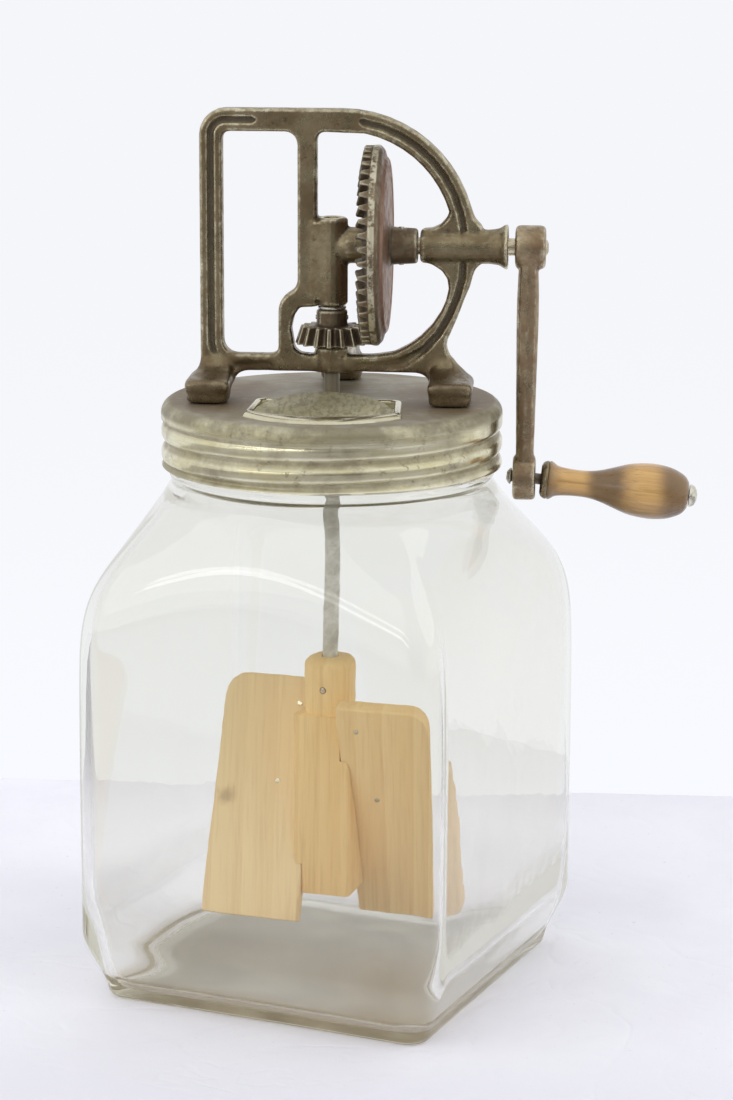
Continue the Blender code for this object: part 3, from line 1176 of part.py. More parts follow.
def build_churn():
    glass = make_material("clear_glass", (0.92, 0.94, 0.92), 0.03, 0.0, 1.0)
    tin = make_material("worn_tin", (0.52, 0.51, 0.43), 0.38, 0.9)
    iron = make_material("cast_iron", (0.20, 0.17, 0.12), 0.5, 0.8)
    gear_iron = make_material("gear_iron", (0.24, 0.20, 0.15), 0.45, 0.85)
    crank_iron = make_material("crank_iron", (0.18, 0.12, 0.08), 0.42, 0.75)
    steel = make_material("steel", (0.38, 0.37, 0.33), 0.35, 0.95)
    brass = make_material("brass", (0.50, 0.42, 0.24), 0.4, 0.9)
    pale_wood = make_material("pale_wood", (0.80, 0.58, 0.34), 0.6, 0.0)
    core_wood = make_material("core_wood", (0.68, 0.42, 0.20), 0.6, 0.0)
    grip_wood = make_material("grip_wood", (0.42, 0.22, 0.08), 0.35, 0.0)

    lid_carrier = carrier("lid_carrier", (0, 0, 0))
    vent_carrier = carrier("vent_carrier", (0, -FLAP_HINGE, HINGE_Z), lid_carrier)
    dasher_carrier = carrier("dasher_carrier", (0, 0, SHAFT_FOOT), lid_carrier)
    crank_carrier = carrier("crank_carrier", (0, 0, AXIS_Z), lid_carrier)
    grip_carrier = carrier("grip_carrier", (EYE_MIDDLE, 0, EYE_Z), crank_carrier)
    build_jar(glass)
    attach(build_lid(tin), lid_carrier)
    attach(build_bush(brass), lid_carrier)
    build_vent(tin, vent_carrier)
    build_frame(iron, lid_carrier)
    build_rivets(steel, lid_carrier)
    build_dasher_shaft(steel, dasher_carrier)
    build_pinion(gear_iron, dasher_carrier)
    build_dasher(pale_wood, core_wood, steel, dasher_carrier)
    build_crank_shaft(steel, crank_carrier)
    build_drive_gear(gear_iron, crank_carrier)
    build_crank_arm(crank_iron, crank_carrier)
    build_grip(grip_wood, crank_iron, steel, crank_carrier, grip_carrier)


for existing in list(bpy.data.objects):
    bpy.data.objects.remove(existing)
build_churn()
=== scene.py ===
# %% [markdown]
# # A hand-cranked butter churn with a glass jar
#
# The churn has a square glass jar, a screw lid of tinned sheet, a cast frame with a
# bevel gear pair, a crank with a turned grip, and a wooden dasher inside the jar.
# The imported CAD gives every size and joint. This script dresses it: each cell makes
# one piece or one finish, and says what it is and why it is made that way.

import math

import bmesh
import bpy
from mathutils import Matrix, Vector, noise


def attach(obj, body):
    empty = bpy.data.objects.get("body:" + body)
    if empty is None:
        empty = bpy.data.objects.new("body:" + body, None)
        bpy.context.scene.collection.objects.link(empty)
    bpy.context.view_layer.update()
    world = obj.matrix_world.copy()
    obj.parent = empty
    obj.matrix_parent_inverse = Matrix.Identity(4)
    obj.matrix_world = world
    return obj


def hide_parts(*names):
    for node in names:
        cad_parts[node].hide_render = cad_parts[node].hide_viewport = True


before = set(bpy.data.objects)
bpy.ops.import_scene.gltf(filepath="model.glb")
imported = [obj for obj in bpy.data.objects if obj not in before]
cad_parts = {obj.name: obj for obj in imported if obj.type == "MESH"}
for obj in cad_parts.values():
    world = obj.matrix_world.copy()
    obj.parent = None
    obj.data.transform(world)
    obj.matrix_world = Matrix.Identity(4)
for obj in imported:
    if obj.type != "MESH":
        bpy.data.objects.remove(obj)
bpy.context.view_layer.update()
print("CAD nodes:", len(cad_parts))

# %% [markdown]
# ## Camera
#
# The picture was taken from a little above the lid with a long lens. A vertical
# sensor fit keeps the height of the picture fixed, whatever its width is.

# %% Camera
CAMERA_PLACE = (0.0996, -1.1695, 0.4297)
CAMERA_LENS = 102.24
CAMERA_TURN = math.radians(4.215)
CAMERA_TILT = math.radians(90 - 12.52)
CAMERA_ROLL = math.radians(0.197)

camera_data = bpy.data.cameras.new("camera")
camera_data.sensor_fit = "VERTICAL"
camera_data.sensor_height = 36
camera_data.lens = CAMERA_LENS
camera_data.clip_start = 0.01
camera = bpy.data.objects.new("camera", camera_data)
bpy.context.scene.collection.objects.link(camera)
camera.matrix_world = (Matrix.Translation(CAMERA_PLACE) @ Matrix.Rotation(CAMERA_TURN, 4, "Z")
                       @ Matrix.Rotation(CAMERA_TILT, 4, "X") @ Matrix.Rotation(CAMERA_ROLL, 4, "Z"))
bpy.context.scene.camera = camera
print("camera at", CAMERA_PLACE)

# %% [markdown]
# ## Helpers for shader nodes
#
# A node tree in Python is a list of nodes and links. One helper adds a node, sets its
# options and fills its inputs, with a value or with another node's output. A colour is
# written as it is seen on screen and turned to the linear light that shaders count in.

# %% Shader helpers
def shade(red, green, blue):
    """Linear colour from screen values of 0 to 255."""
    parts = []
    for part in (red, green, blue):
        part = part / 255
        parts.append(part / 12.92 if part <= 0.04045 else ((part + 0.055) / 1.055) ** 2.4)
    return (*parts, 1.0)


def shades(*tones):
    """Several linear colours at once."""
    return [shade(*tone) for tone in tones]


def fill(node, inputs):
    """Set inputs, named or numbered, to values or to the outputs of other nodes."""
    for name, value in inputs.items():
        if isinstance(value, bpy.types.NodeSocket):
            node.id_data.links.new(value, node.inputs[name])
        else:
            node.inputs[name].default_value = value


def put(tree, kind, inputs=None, **options):
    """Add a node of a kind with some options and inputs."""
    made = tree.nodes.new("ShaderNode" + kind)
    for name, value in options.items():
        setattr(made, name, value)
    fill(made, inputs or {})
    return made


# The helpers below add their node to the tree that their first output belongs to.
def sums(operation, first, second=0.0):
    return put(first.id_data, "Math", {0: first, 1: second}, operation=operation).outputs[0]


def times(first, second):
    return sums("MULTIPLY", first, second)


def plus(first, second):
    return sums("ADD", first, second)


def less(first, second):
    return sums("SUBTRACT", first, second)


def larger(first, second):
    return sums("MAXIMUM", first, second)


def spread(value, low, high, to_low=0.0, to_high=1.0):
    """Stretch a value smoothly from one range to another."""
    inputs = {"Value": value, "From Min": low, "From Max": high, "To Min": to_low, "To Max": to_high}
    return put(value.id_data, "MapRange", inputs, interpolation_type="SMOOTHSTEP").outputs["Result"]


def zone(value, rise, full, fade, gone):
    """A mask that rises between two places and falls again further on."""
    return times(spread(value, rise, full), spread(value, gone, fade))


def blend_colour(share, first, second):
    return put(share.id_data, "Mix", {0: share, 6: first, 7: second}, data_type="RGBA").outputs[2]


def blend_shaders(share, first, second):
    return put(share.id_data, "MixShader", {0: share, 1: first.outputs[0], 2: second.outputs[0]})


def clouds(place, scale, detail=4.0, rough=0.55, distortion=0.0):
    """Noise between 0 and 1."""
    inputs = {"Vector": place, "Scale": scale, "Detail": detail, "Roughness": rough, "Distortion": distortion}
    return put(place.id_data, "TexNoise", inputs).outputs["Fac"]


def parts_of(vector):
    """The X, Y and Z of a vector, as outputs."""
    return put(vector.id_data, "SeparateXYZ", {0: vector}).outputs


def mapped(vector, **settings):
    """The vector moved, turned or scaled."""
    inputs = {name.title(): value for name, value in settings.items()}
    return put(vector.id_data, "Mapping", {"Vector": vector, **inputs}).outputs[0]


def measured(operation, first, *second):
    """A vector operation that gives a number, such as LENGTH or DISTANCE."""
    made = put(first.id_data, "VectorMath", dict(enumerate((first, *second))), operation=operation)
    return made.outputs["Value"]


def upward_share(tree):
    """How far the surface faces up, from -1 to 1."""
    return parts_of(put(tree, "TexCoord").outputs["Normal"])["Z"]


def roughen(shader, height, strength, depth):
    """Give a shader small relief by a bump of the given depth."""
    bump = put(shader.id_data, "Bump", {"Height": height, "Strength": strength, "Distance": depth})
    fill(shader, {"Normal": bump.outputs["Normal"]})


def new_group(name, inputs, outputs):
    """An empty node group; inputs are (name, kind, start value), outputs are floats."""
    group = bpy.data.node_groups.new(name, "ShaderNodeTree")
    for label, kind, start in inputs:
        socket = group.interface.new_socket(name=label, in_out="INPUT", socket_type=kind)
        if start is not None:
            socket.default_value = start
    for label in outputs:
        group.interface.new_socket(name=label, in_out="OUTPUT", socket_type="NodeSocketFloat")
    return group, group.nodes.new("NodeGroupInput"), group.nodes.new("NodeGroupOutput")


def use_group(tree, group, inputs):
    """Place a node group and give its outputs."""
    return put(tree, "Group", inputs, node_tree=group).outputs


def new_material(name):
    """A material with its Principled shader and the object's own coordinates."""
    material = bpy.data.materials.new(name)
    material.use_nodes = True
    tree = material.node_tree
    place = put(tree, "TexCoord").outputs["Object"]
    return material, tree, tree.nodes["Principled BSDF"], place


# %% [markdown]
# ## Stage and light
#
# The churn stands on white cloth in front of a white wall, in soft daylight. The wall is
# seen at full white by the camera, by gloss and through glass, but lights nothing by
# itself. From behind it is clear, so that the back of the churn can be looked at too.
# In gloss the far cloth is dim, as a table's end would be: that gives metal its dark side.

# %% Stage helper
STAGE_HALF = 3.0
UNDER_FOOT = 0.0003


def mesh_of(builder, name):
    """Turn a builder into a mesh and let it go."""
    mesh = bpy.data.meshes.new(name)
    builder.to_mesh(mesh)
    builder.free()
    return mesh


def add_object(name, data):
    made = bpy.data.objects.new(name, data)
    bpy.context.scene.collection.objects.link(made)
    return made


def set_stage(name, material, turn, forward):
    """A large plain sheet, turned about X and moved along Y, that isn't part of the churn."""
    lift = STAGE_HALF * math.sin(turn) - UNDER_FOOT
    builder = bmesh.new()
    bmesh.ops.create_grid(builder, x_segments=1, y_segments=1, size=STAGE_HALF)
    bmesh.ops.rotate(builder, verts=builder.verts, cent=(0, 0, 0), matrix=Matrix.Rotation(turn, 3, "X"))
    bmesh.ops.translate(builder, verts=builder.verts, vec=(0, forward, lift))
    mesh = mesh_of(builder, name)
    mesh.materials.append(material)
    add_object(name, mesh)
    print(name, 2 * STAGE_HALF, "m wide, facing", tuple(mesh.polygons[0].normal))


# %% Cloth floor
CLOTH = shade(246, 246, 250)
CLOTH_SHADE = shade(241, 240, 246)
CLOTH_SHADE_IN_FRONT = shade(231, 230, 236)
LINT = shade(170, 165, 160)
DIM_CLOTH = shade(108, 102, 92)

floor_material, tree, cloth, place = new_material("white_cloth")
rumple = clouds(place, 9.0, 5.0)
lint = spread(clouds(place, 420.0, 2.0), 0.70, 0.76)
tone = blend_colour(spread(rumple, 0.35, 0.65), CLOTH, CLOTH_SHADE)
tone = blend_colour(times(lint, 0.25), tone, LINT)
# Painted shade: the cloth is darker towards the front, where less light falls on it.
tone = blend_colour(spread(parts_of(place)["Y"], -0.05, -0.15), tone, CLOTH_SHADE_IN_FRONT)
outward = measured("LENGTH", place)
in_gloss = times(put(tree, "LightPath").outputs["Is Glossy Ray"], spread(outward, 0.18, 0.50))
fill(cloth, {"Base Color": blend_colour(times(in_gloss, 0.55), tone, DIM_CLOTH), "Roughness": 0.95,
             "Specular IOR Level": 0.1})
weave = clouds(place, 900.0, 2.0)
folds = clouds(place, 13.0, 3.0, 0.5, 1.5)
crease = spread(sums("ABSOLUTE", less(folds, 0.5)), 0.0, 0.05)
rise = plus(times(weave, 0.05), rumple)
rise = plus(rise, times(crease, 0.10))
roughen(cloth, rise, 0.35, 0.004)
set_stage("floor", floor_material, 0, 0)

# %% White wall
WALL_BEHIND = 0.245
WALL_WHITE = shade(245, 246, 250)
WALL_LOW = shade(248, 250, 255)

wall_material, tree, plaster, place = new_material("white_wall")
fill(plaster, {"Base Color": WALL_WHITE, "Roughness": 1.0})
glow_tone = blend_colour(spread(parts_of(place)["Z"], 0.0, 0.25), WALL_LOW, WALL_WHITE)
glow = put(tree, "Emission", {"Color": glow_tone, "Strength": 1.0})
rays = put(tree, "LightPath")
seen = larger(rays.outputs["Is Camera Ray"],
              larger(rays.outputs["Is Glossy Ray"], rays.outputs["Is Transmission Ray"]))
lit = blend_shaders(seen, plaster, glow)
clear = put(tree, "BsdfTransparent")
behind = put(tree, "NewGeometry").outputs["Backfacing"]
fill(tree.nodes["Material Output"], {"Surface": blend_shaders(behind, lit, clear).outputs[0]})
set_stage("wall", wall_material, math.radians(90), WALL_BEHIND)

# %% [markdown]
# ## Soft light
#
# Metal and glass only look like themselves when there is something to reflect. The sky
# of this scene is white above and behind the churn and greyer behind the camera, as a
# room is behind a photographer at a window. Two large soft lamps do the rest, and a long
# low one draws the bright line along the jar's shoulder.

# %% World and lamps
SKY_LIGHT = 0.68
SKY_TONE = shade(250, 251, 255)
ROOM_GREY = shade(128, 125, 120)
CHURN_MIDDLE = Vector((0, 0, 0.15))

world = bpy.data.worlds.new("daylight")
world.use_nodes = True
bpy.context.scene.world = world
tree = world.node_tree
direction = parts_of(put(tree, "TexCoord").outputs["Generated"])
upward = spread(direction["Z"], -0.05, 0.75)
backward = spread(direction["Y"], -0.45, 0.25)
leftward = spread(direction["X"], 0.1, -0.8)
rightward = spread(direction["X"], 0.35, 0.95)
sideward = larger(leftward, rightward)
open_sky = larger(upward, larger(backward, sideward))
seen_sky = blend_colour(open_sky, ROOM_GREY, (1.0, 1.0, 1.0, 1.0))
rays = put(tree, "LightPath")
seen = larger(rays.outputs["Is Glossy Ray"], rays.outputs["Is Transmission Ray"])
soft = put(tree, "Background", {"Color": SKY_TONE, "Strength": SKY_LIGHT})
room = put(tree, "Background", {"Color": seen_sky, "Strength": 1.0})
white = put(tree, "Background", {"Color": WALL_WHITE, "Strength": 1.0})
reflected = blend_shaders(seen, soft, room)
sky = blend_shaders(rays.outputs["Is Camera Ray"], reflected, white)
fill(tree.nodes["World Output"], {"Surface": sky.outputs[0]})


def add_lamp(name, place, width, height, power, mirrored=False):
    """A soft area lamp that faces the churn; only a mirrored one shows in gloss."""
    data = bpy.data.lights.new(name, "AREA")
    data.shape = "ELLIPSE" if width < 2 * height else "RECTANGLE"
    data.size = width
    data.size_y = height
    data.energy = power
    lamp = add_object(name, data)
    lamp.visible_camera = False
    lamp.visible_glossy = mirrored
    look = (CHURN_MIDDLE - Vector(place)).to_track_quat("-Z", "Y")
    lamp.matrix_world = Matrix.Translation(place) @ look.to_matrix().to_4x4()


add_lamp("key", (-1.1, -0.9, 1.25), 2.3, 2.3, 12.0)
add_lamp("fill", (1.3, -0.3, 1.1), 1.6, 1.6, 9.0)
add_lamp("window", (-1.05, -1.45, 0.79), 1.8, 0.10, 1.7, True)
bpy.context.scene.view_settings.view_transform = "Standard"
print("three lamps and a sky of", SKY_LIGHT)

# %% [markdown]
# ## Helpers for meshes
#
# Most of the churn is turned on a lathe, cast in sand or pressed from sheet. A turned
# piece starts as a profile that is spun. A casting is a copy of its CAD solid, run
# through a voxel remesh and a light smoothing, which rounds every edge the way sand
# does and gives the mesh enough points for wear to follow its edges.

# %% Mesh helpers
def settle(builder, matrix=Matrix()):
    """Lay a builder where it belongs and turn its faces outward."""
    bmesh.ops.transform(builder, matrix=matrix, verts=builder.verts)
    bmesh.ops.recalc_face_normals(builder, faces=builder.faces)


SEAM = 1e-6
MELT_FADE = 0.003
MOST_TRIANGLES = 180000
QUARTER = math.radians(90)
ALONG_X = Matrix.Rotation(QUARTER, 4, "Y")


def ease(value):
    """A smooth step from 0 to 1."""
    value = min(max(value, 0), 1)
    return value * value * (3 - 2 * value)


def cleaned(name):
    """A merged copy of a CAD node, with its flat faces made whole."""
    builder = bmesh.new()
    builder.from_mesh(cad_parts[name].data)
    bmesh.ops.remove_doubles(builder, verts=builder.verts, dist=SEAM)
    bmesh.ops.dissolve_limit(builder, angle_limit=math.radians(1), verts=builder.verts, edges=builder.edges)
    return builder


def spun(profile, steps, ring=False):
    """Turn a profile of (radius, height) about Z; open ends are closed by flat faces."""
    builder = bmesh.new()
    corners = [builder.verts.new((radius, 0, height)) for radius, height in profile]
    edges = [builder.edges.new(pair) for pair in zip(corners, corners[1:])]
    if ring:
        edges.append(builder.edges.new((corners[-1], corners[0])))
    bmesh.ops.spin(builder, geom=corners + edges, cent=(0, 0, 0), axis=(0, 0, 1),
                   angle=2 * math.pi, steps=steps, use_merge=True)
    bmesh.ops.remove_doubles(builder, verts=builder.verts, dist=SEAM)
    if not ring:
        bmesh.ops.holes_fill(builder, edges=[edge for edge in builder.edges if edge.is_boundary], sides=0)
    bmesh.ops.recalc_face_normals(builder, faces=builder.faces)
    return builder


def soften(builder, width, segments=2, sharp=25):
    """Round every edge that is sharper than an angle in degrees."""
    limit = math.radians(sharp)
    edges = [edge for edge in builder.edges if edge.is_manifold and edge.calc_face_angle(0) > limit]
    bmesh.ops.bevel(builder, geom=edges, offset=width, offset_type="OFFSET", affect="EDGES",
                    segments=segments, profile=0.5, material=-1, clamp_overlap=True)


def flowing(points, steps):
    """More points along a smooth curve through the given (radius, height) points."""
    made = []
    for index in range(len(points) - 1):
        before = points[max(index - 1, 0)]
        start, end = points[index], points[index + 1]
        after = points[min(index + 2, len(points) - 1)]
        for step in range(steps):
            t = step / steps
            made.append(tuple(
                0.5 * (2 * start[k] + (end[k] - before[k]) * t
                       + (2 * before[k] - 5 * start[k] + 4 * end[k] - after[k]) * t * t
                       + (3 * start[k] - before[k] - 3 * end[k] + after[k]) * t ** 3) for k in (0, 1)))
    return made + [points[-1]]


def present(name, mesh_or_builder, body, material, replaced=(), crease=40):
    """Make the finished object, ride it on its body and hide the CAD parts it stands in for."""
    if isinstance(mesh_or_builder, bmesh.types.BMesh):
        mesh = mesh_of(mesh_or_builder, name)
    else:
        mesh = mesh_or_builder
        mesh.name = name
    mesh.polygons.foreach_set("use_smooth", [True] * len(mesh.polygons))
    if crease:
        mesh.set_sharp_from_angle(angle=math.radians(crease))
    mesh.materials.clear()
    mesh.materials.append(material)
    made = add_object(name, mesh)
    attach(made, body)
    if replaced:
        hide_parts(*replaced)
    print(name, sum(len(polygon.vertices) - 2 for polygon in mesh.polygons), "triangles")


def worked_in(raw):
    """The object's mesh with its modifiers worked in."""
    return bpy.data.meshes.new_from_object(raw.evaluated_get(bpy.context.evaluated_depsgraph_get()))


def recast(name, voxel, rounds, melt=None):
    """Copy a CAD casting, remesh it finely and let smoothing round it like sand casting.

    melt is a height and more rounds of smoothing for what lies below it.
    """
    raw = add_object("raw", mesh_of(cleaned(name), "raw"))
    remesh = raw.modifiers.new("remesh", "REMESH")
    remesh.mode = "VOXEL"
    remesh.voxel_size = voxel
    smooth = raw.modifiers.new("smooth", "SMOOTH")
    smooth.factor = 0.5
    smooth.iterations = rounds
    dense = worked_in(raw)
    triangles = 2 * len(dense.polygons)
    raw.modifiers.clear()
    raw.data = dense
    if triangles > MOST_TRIANGLES:
        raw.modifiers.new("thin", "DECIMATE").ratio = MOST_TRIANGLES / triangles
        dense = worked_in(raw)
        raw.modifiers.clear()
        raw.data = dense
    if melt:
        below = raw.vertex_groups.new(name="below")
        for point in dense.vertices:
            below.add([point.index], ease((melt[0] - point.co.z) / MELT_FADE), "REPLACE")
        again = raw.modifiers.new("again", "SMOOTH")
        again.factor = 0.5
        again.iterations = melt[1]
        again.vertex_group = below.name
        dense = worked_in(raw)
    bpy.data.objects.remove(raw)
    return dense


# %% [markdown]
# ## Shared effects for metal
#
# Old metal shows the same signs everywhere: edges rubbed bright, hollows filled with
# dirt, and clouds and specks of rust. One group finds them all from the mesh's
# pointiness and from noise, and each metal mixes its own colours with the masks.

# %% Metal ageing group
metal_age, start, end = new_group(
    "metal_age",
    [("Place", "NodeSocketVector", None), ("Cloud Scale", "NodeSocketFloat", 60.0),
     ("Speck Scale", "NodeSocketFloat", 300.0), ("Edge", "NodeSocketFloat", 0.03)],
    ["Worn", "Hollow", "Cloud", "Mottle", "Speck", "Residue"])
pointy = less(put(metal_age, "NewGeometry").outputs["Pointiness"], 0.5)
ratio = sums("DIVIDE", pointy, start.outputs["Edge"])
cloud = clouds(start.outputs["Place"], start.outputs["Cloud Scale"], 6.0, 0.6)
mottle = clouds(start.outputs["Place"], times(start.outputs["Cloud Scale"], 3.3), 6.0, 0.7, 0.4)
speck = clouds(start.outputs["Place"], start.outputs["Speck Scale"], 3.0, 0.6)
patch = clouds(start.outputs["Place"], times(start.outputs["Speck Scale"], 0.4), 5.0, 0.65)
rubbed = plus(ratio, times(less(speck, 0.5), 1.6))
left_over = times(spread(ratio, 0.1, 0.7), spread(patch, 0.55, 0.64))
fill(end, {"Worn": spread(rubbed, 0.25, 1.1), "Hollow": spread(ratio, -0.12, -0.75),
           "Cloud": spread(cloud, 0.36, 0.64), "Mottle": spread(mottle, 0.35, 0.65),
           "Speck": spread(speck, 0.60, 0.70), "Residue": left_over})
print("metal_age has outputs Worn, Hollow, Cloud, Mottle, Speck, Residue")

# %% Cast grain group
cast_grain, start, end = new_group(
    "cast_grain", [("Place", "NodeSocketVector", None), ("Scale", "NodeSocketFloat", 500.0)], ["Height"])
coarse = clouds(start.outputs["Place"], start.outputs["Scale"], 3.0, 0.6)
finer = clouds(start.outputs["Place"], times(start.outputs["Scale"], 0.28), 2.0)
fill(end, {"Height": plus(coarse, times(finer, 1.4))})
print("cast_grain has output Height")


# %% [markdown]
# ## Metal finishes
#
# Each metal has its usual tone, a darker cloud, the dirt in the hollows, the bright tone
# of rubbed edges, and rust. Over them lie cream scraps of old tinning along the edges.
# The functions give the material's parts back, so that a piece can get a last layer.

# %% Metals
CREAM = shade(214, 208, 184)
CAST_ROUGH = (0.26, 0.48)
GRAIN_SCALE = 520.0
GRAIN_DEPTH = 0.0004
FEET_FROM, FEET_FULL = 0.2440, 0.2395
SHAFT_SHADE_FROM, SHAFT_SHADE_FULL = 0.2280, 0.2300


def aged_metal(name, tones, rough=(0.38, 0.62), metallic=0.85, scales=(60.0, 330.0), grain=0.25,
               rust=0.5, wear=0.7, scraps=0.0):
    """tones are the usual colour, the cloud, the dirt, the rubbed edge and the rust."""
    usual, cloudy, dirt, rubbed, rusty = shades(*tones)
    material, tree, metal, place = new_material(name)
    age = use_group(tree, metal_age, {"Place": place, "Cloud Scale": scales[0], "Speck Scale": scales[1]})
    colour = blend_colour(age["Cloud"], usual, cloudy)
    colour = blend_colour(times(age["Mottle"], rust), colour, rusty)
    colour = blend_colour(times(age["Speck"], 0.5), colour, dirt)
    colour = blend_colour(times(age["Hollow"], 0.85), colour, dirt)
    colour = blend_colour(times(age["Worn"], wear), colour, rubbed)
    colour = blend_colour(times(age["Residue"], scraps), colour, CREAM)
    fill(metal, {"Base Color": colour})
    dull = larger(age["Hollow"], times(age["Residue"], scraps))
    fill(metal, {"Metallic": spread(dull, 0.0, 1.0, metallic, metallic * 0.4)})
    roughness = spread(age["Mottle"], 0.0, 1.0, *rough)
    fill(metal, {"Roughness": less(roughness, times(age["Worn"], 0.12))})
    height = use_group(tree, cast_grain, {"Place": place, "Scale": GRAIN_SCALE})["Height"]
    roughen(metal, height, grain, GRAIN_DEPTH)
    return material, tree, metal, place, colour


cast_iron, tree, metal, place, colour = aged_metal(
    "cast_iron", ((153, 142, 113), (121, 109, 83), (56, 48, 35), (231, 223, 193), (114, 90, 63)),
    CAST_ROUGH, grain=0.4, rust=0.40, wear=0.55, scraps=0.55)
height = parts_of(place)["Z"]
foot_tone = blend_colour(spread(clouds(place, 90.0, 5.0, 0.65), 0.35, 0.65),
                         *shades((128, 113, 89), (100, 84, 62)))
on_feet = times(spread(height, FEET_FROM, FEET_FULL), 0.8)
fill(metal, {"Base Color": blend_colour(on_feet, colour, foot_tone)})
crank_iron = aged_metal(
    "crank_iron", ((175, 161, 132), (140, 124, 99), (69, 57, 44), (239, 230, 202), (129, 94, 67)),
    CAST_ROUGH, grain=0.35, rust=0.45, wear=0.6, scraps=0.4)[0]
steel = aged_metal(
    "steel", ((168, 165, 152), (134, 128, 114), (86, 80, 66), (214, 212, 200), (124, 104, 84)),
    (0.3, 0.5), 0.9, grain=0.1, rust=0.35)[0]
dull_steel, tree, metal, place, colour = aged_metal(
    "dull_steel", ((233, 232, 221), (202, 200, 186), (144, 140, 124), (246, 245, 233), (182, 175, 160)),
    (0.4, 0.6), 0.35, (45.0, 260.0), grain=0.2, rust=0.7)
height = parts_of(place)["Z"]
# Painted shade: the shaft is darker above the lid, where it stands under the frame's deck and gear.
shade_above_lid = spread(height, SHAFT_SHADE_FROM, SHAFT_SHADE_FULL)
fill(metal, {"Base Color": blend_colour(shade_above_lid, colour, shade(124, 116, 98))})
cap_steel = aged_metal(
    "cap_steel", ((214, 210, 194), (188, 182, 164), (120, 112, 94), (236, 234, 222), (150, 134, 112)),
    (0.25, 0.4), 0.9, grain=0.1, rust=0.35)[0]
brass = aged_metal(
    "brass", ((140, 124, 84), (104, 90, 62), (70, 58, 40), (200, 184, 132), (110, 84, 54)),
    (0.3, 0.5), 0.9, grain=0.1)[0]
print("cast_iron, crank_iron, steel, dull_steel, cap_steel and brass are ready")

# %% [markdown]
# ## Gear finish
#
# The gear and its pinion are the same iron. The gear has kept a cream band of tinning on
# its rim, its teeth are rubbed pale at their ends and carry a painted highlight there, the
# gaps between the teeth get painted shade, and the dished web behind is reddish. The
# distance from the crank's axis and the place along it tell these zones apart.

# %% Gear iron
AXIS_Z = 0.2868
HUB_REACH = 0.0080
DISH_REACH = 0.0352
RIM_REACH = 0.0373
TEETH_END = 0.0136
RIM_START = 0.0160
RIM_BACK = 0.0186
GEAR_TONES = ((134, 122, 99), (112, 99, 78), (50, 42, 32), (206, 198, 174), (104, 78, 58))
pinion_iron = aged_metal("pinion_iron", GEAR_TONES, grain=0.3, rust=0.4, scraps=0.4)[0]
gear_iron, tree, metal, place, colour = aged_metal("gear_iron", GEAR_TONES, grain=0.3, rust=0.4,
                                                   wear=0.35, scraps=0.35)
from_axis = mapped(place, location=(0, 0, -AXIS_Z), scale=(0, 1, 1))
reach = measured("LENGTH", from_axis)
along = parts_of(place)["X"]
chipped = spread(clouds(place, 190.0, 5.0, 0.7), 0.42, 0.54)
behind_rim = spread(along, RIM_BACK - 0.0010, RIM_BACK)
on_edge = spread(reach, RIM_REACH - 0.0006, RIM_REACH)
web = times(behind_rim, zone(reach, HUB_REACH, HUB_REACH + 0.0020, DISH_REACH - 0.0012, DISH_REACH))
on_band = zone(along, RIM_START - 0.0002, RIM_START + 0.0002, RIM_BACK - 0.0006, RIM_BACK)
band = times(times(on_edge, on_band), chipped)
# Masks for painted light: the tooth ends are lit pale, on top of real wear, and the gaps between the teeth
# are shaded.
ends = times(on_edge, spread(along, TEETH_END + 0.0010, TEETH_END))
inward = spread(reach, RIM_REACH - 0.0002, RIM_REACH - 0.0007)
shaded_gaps = times(inward, spread(along, RIM_START, RIM_START - 0.0008))
colour = blend_colour(times(web, 0.6), colour, shade(146, 110, 94))
# Painted shade in the gaps between the teeth.
colour = blend_colour(times(shaded_gaps, 0.5), colour, shade(66, 56, 42))
# Painted highlight, partly rubbed wear, on the tooth ends.
colour = blend_colour(times(ends, 0.3), colour, shade(186, 177, 152))
colour = blend_colour(times(band, 0.85), colour, CREAM)
fill(metal, {"Base Color": colour})
print("gear_iron and pinion_iron are ready")

# %% [markdown]
# ## Tinned lid finish
#
# The tin has gone golden and grey in long streaks round the skirt, with brown stains, and
# the turns of the thread hold dirt. The rounded edge and the top of the skirt get painted
# shade mixed with some dirt, and the raised collar a painted highlight. The flat top has
# lost its shine and is a brown grey, browner where the frame's feet stand. The dirt
# follows the thread by the same rule of height and angle that shapes the skirt.

# %% Worn tin
LID_TOP = 0.2285
LID_BOTTOM = 0.2034
LID_RADIUS = 0.0650
THREAD_PITCH = 0.0084
THREAD_TOP = 0.2217
THREAD_PHASE = 0.0130
RIM_SHADE_FROM, RIM_SHADE_FULL = 0.2220, 0.2250
FOOT_X, FOOT_Y = 0.0456, 0.0132


def tinned(name, tones, stain=0.8, grain=0.12, metallic=(0.95, 0.5), rough=(0.2, 0.42)):
    """tones are bright tin, golden tin, grey tarnish, brown dirt and the rubbed edge."""
    bright, golden, grey, brown, rubbed = shades(*tones)
    material, tree, tin, place = new_material(name)
    squashed = mapped(place, scale=(1.0, 1.0, 9.0))
    streak = spread(clouds(squashed, 34.0, 6.0, 0.65), 0.36, 0.66)
    veil = spread(clouds(place, 48.0, 5.0, 0.65, 0.6), 0.42, 0.68)
    spots = spread(clouds(place, 240.0, 5.0, 0.7), 0.56, 0.72)
    age = use_group(tree, metal_age, {"Place": place, "Cloud Scale": 26.0, "Speck Scale": 420.0,
                                      "Edge": 0.035})
    stained = times(age["Cloud"], spots)
    colour = blend_colour(streak, bright, golden)
    colour = blend_colour(times(veil, 0.75), colour, grey)
    colour = blend_colour(times(stained, stain), colour, brown)
    colour = blend_colour(times(age["Worn"], 0.35), colour, rubbed)
    fill(tin, {"Metallic": spread(stained, 0.0, 1.0, *metallic),
               "Roughness": spread(larger(veil, stained), 0.0, 1.0, *rough), "Base Color": colour})
    height = use_group(tree, cast_grain, {"Place": place, "Scale": 300.0})["Height"]
    roughen(tin, height, grain, 0.0003)
    return material, tree, tin, place, colour


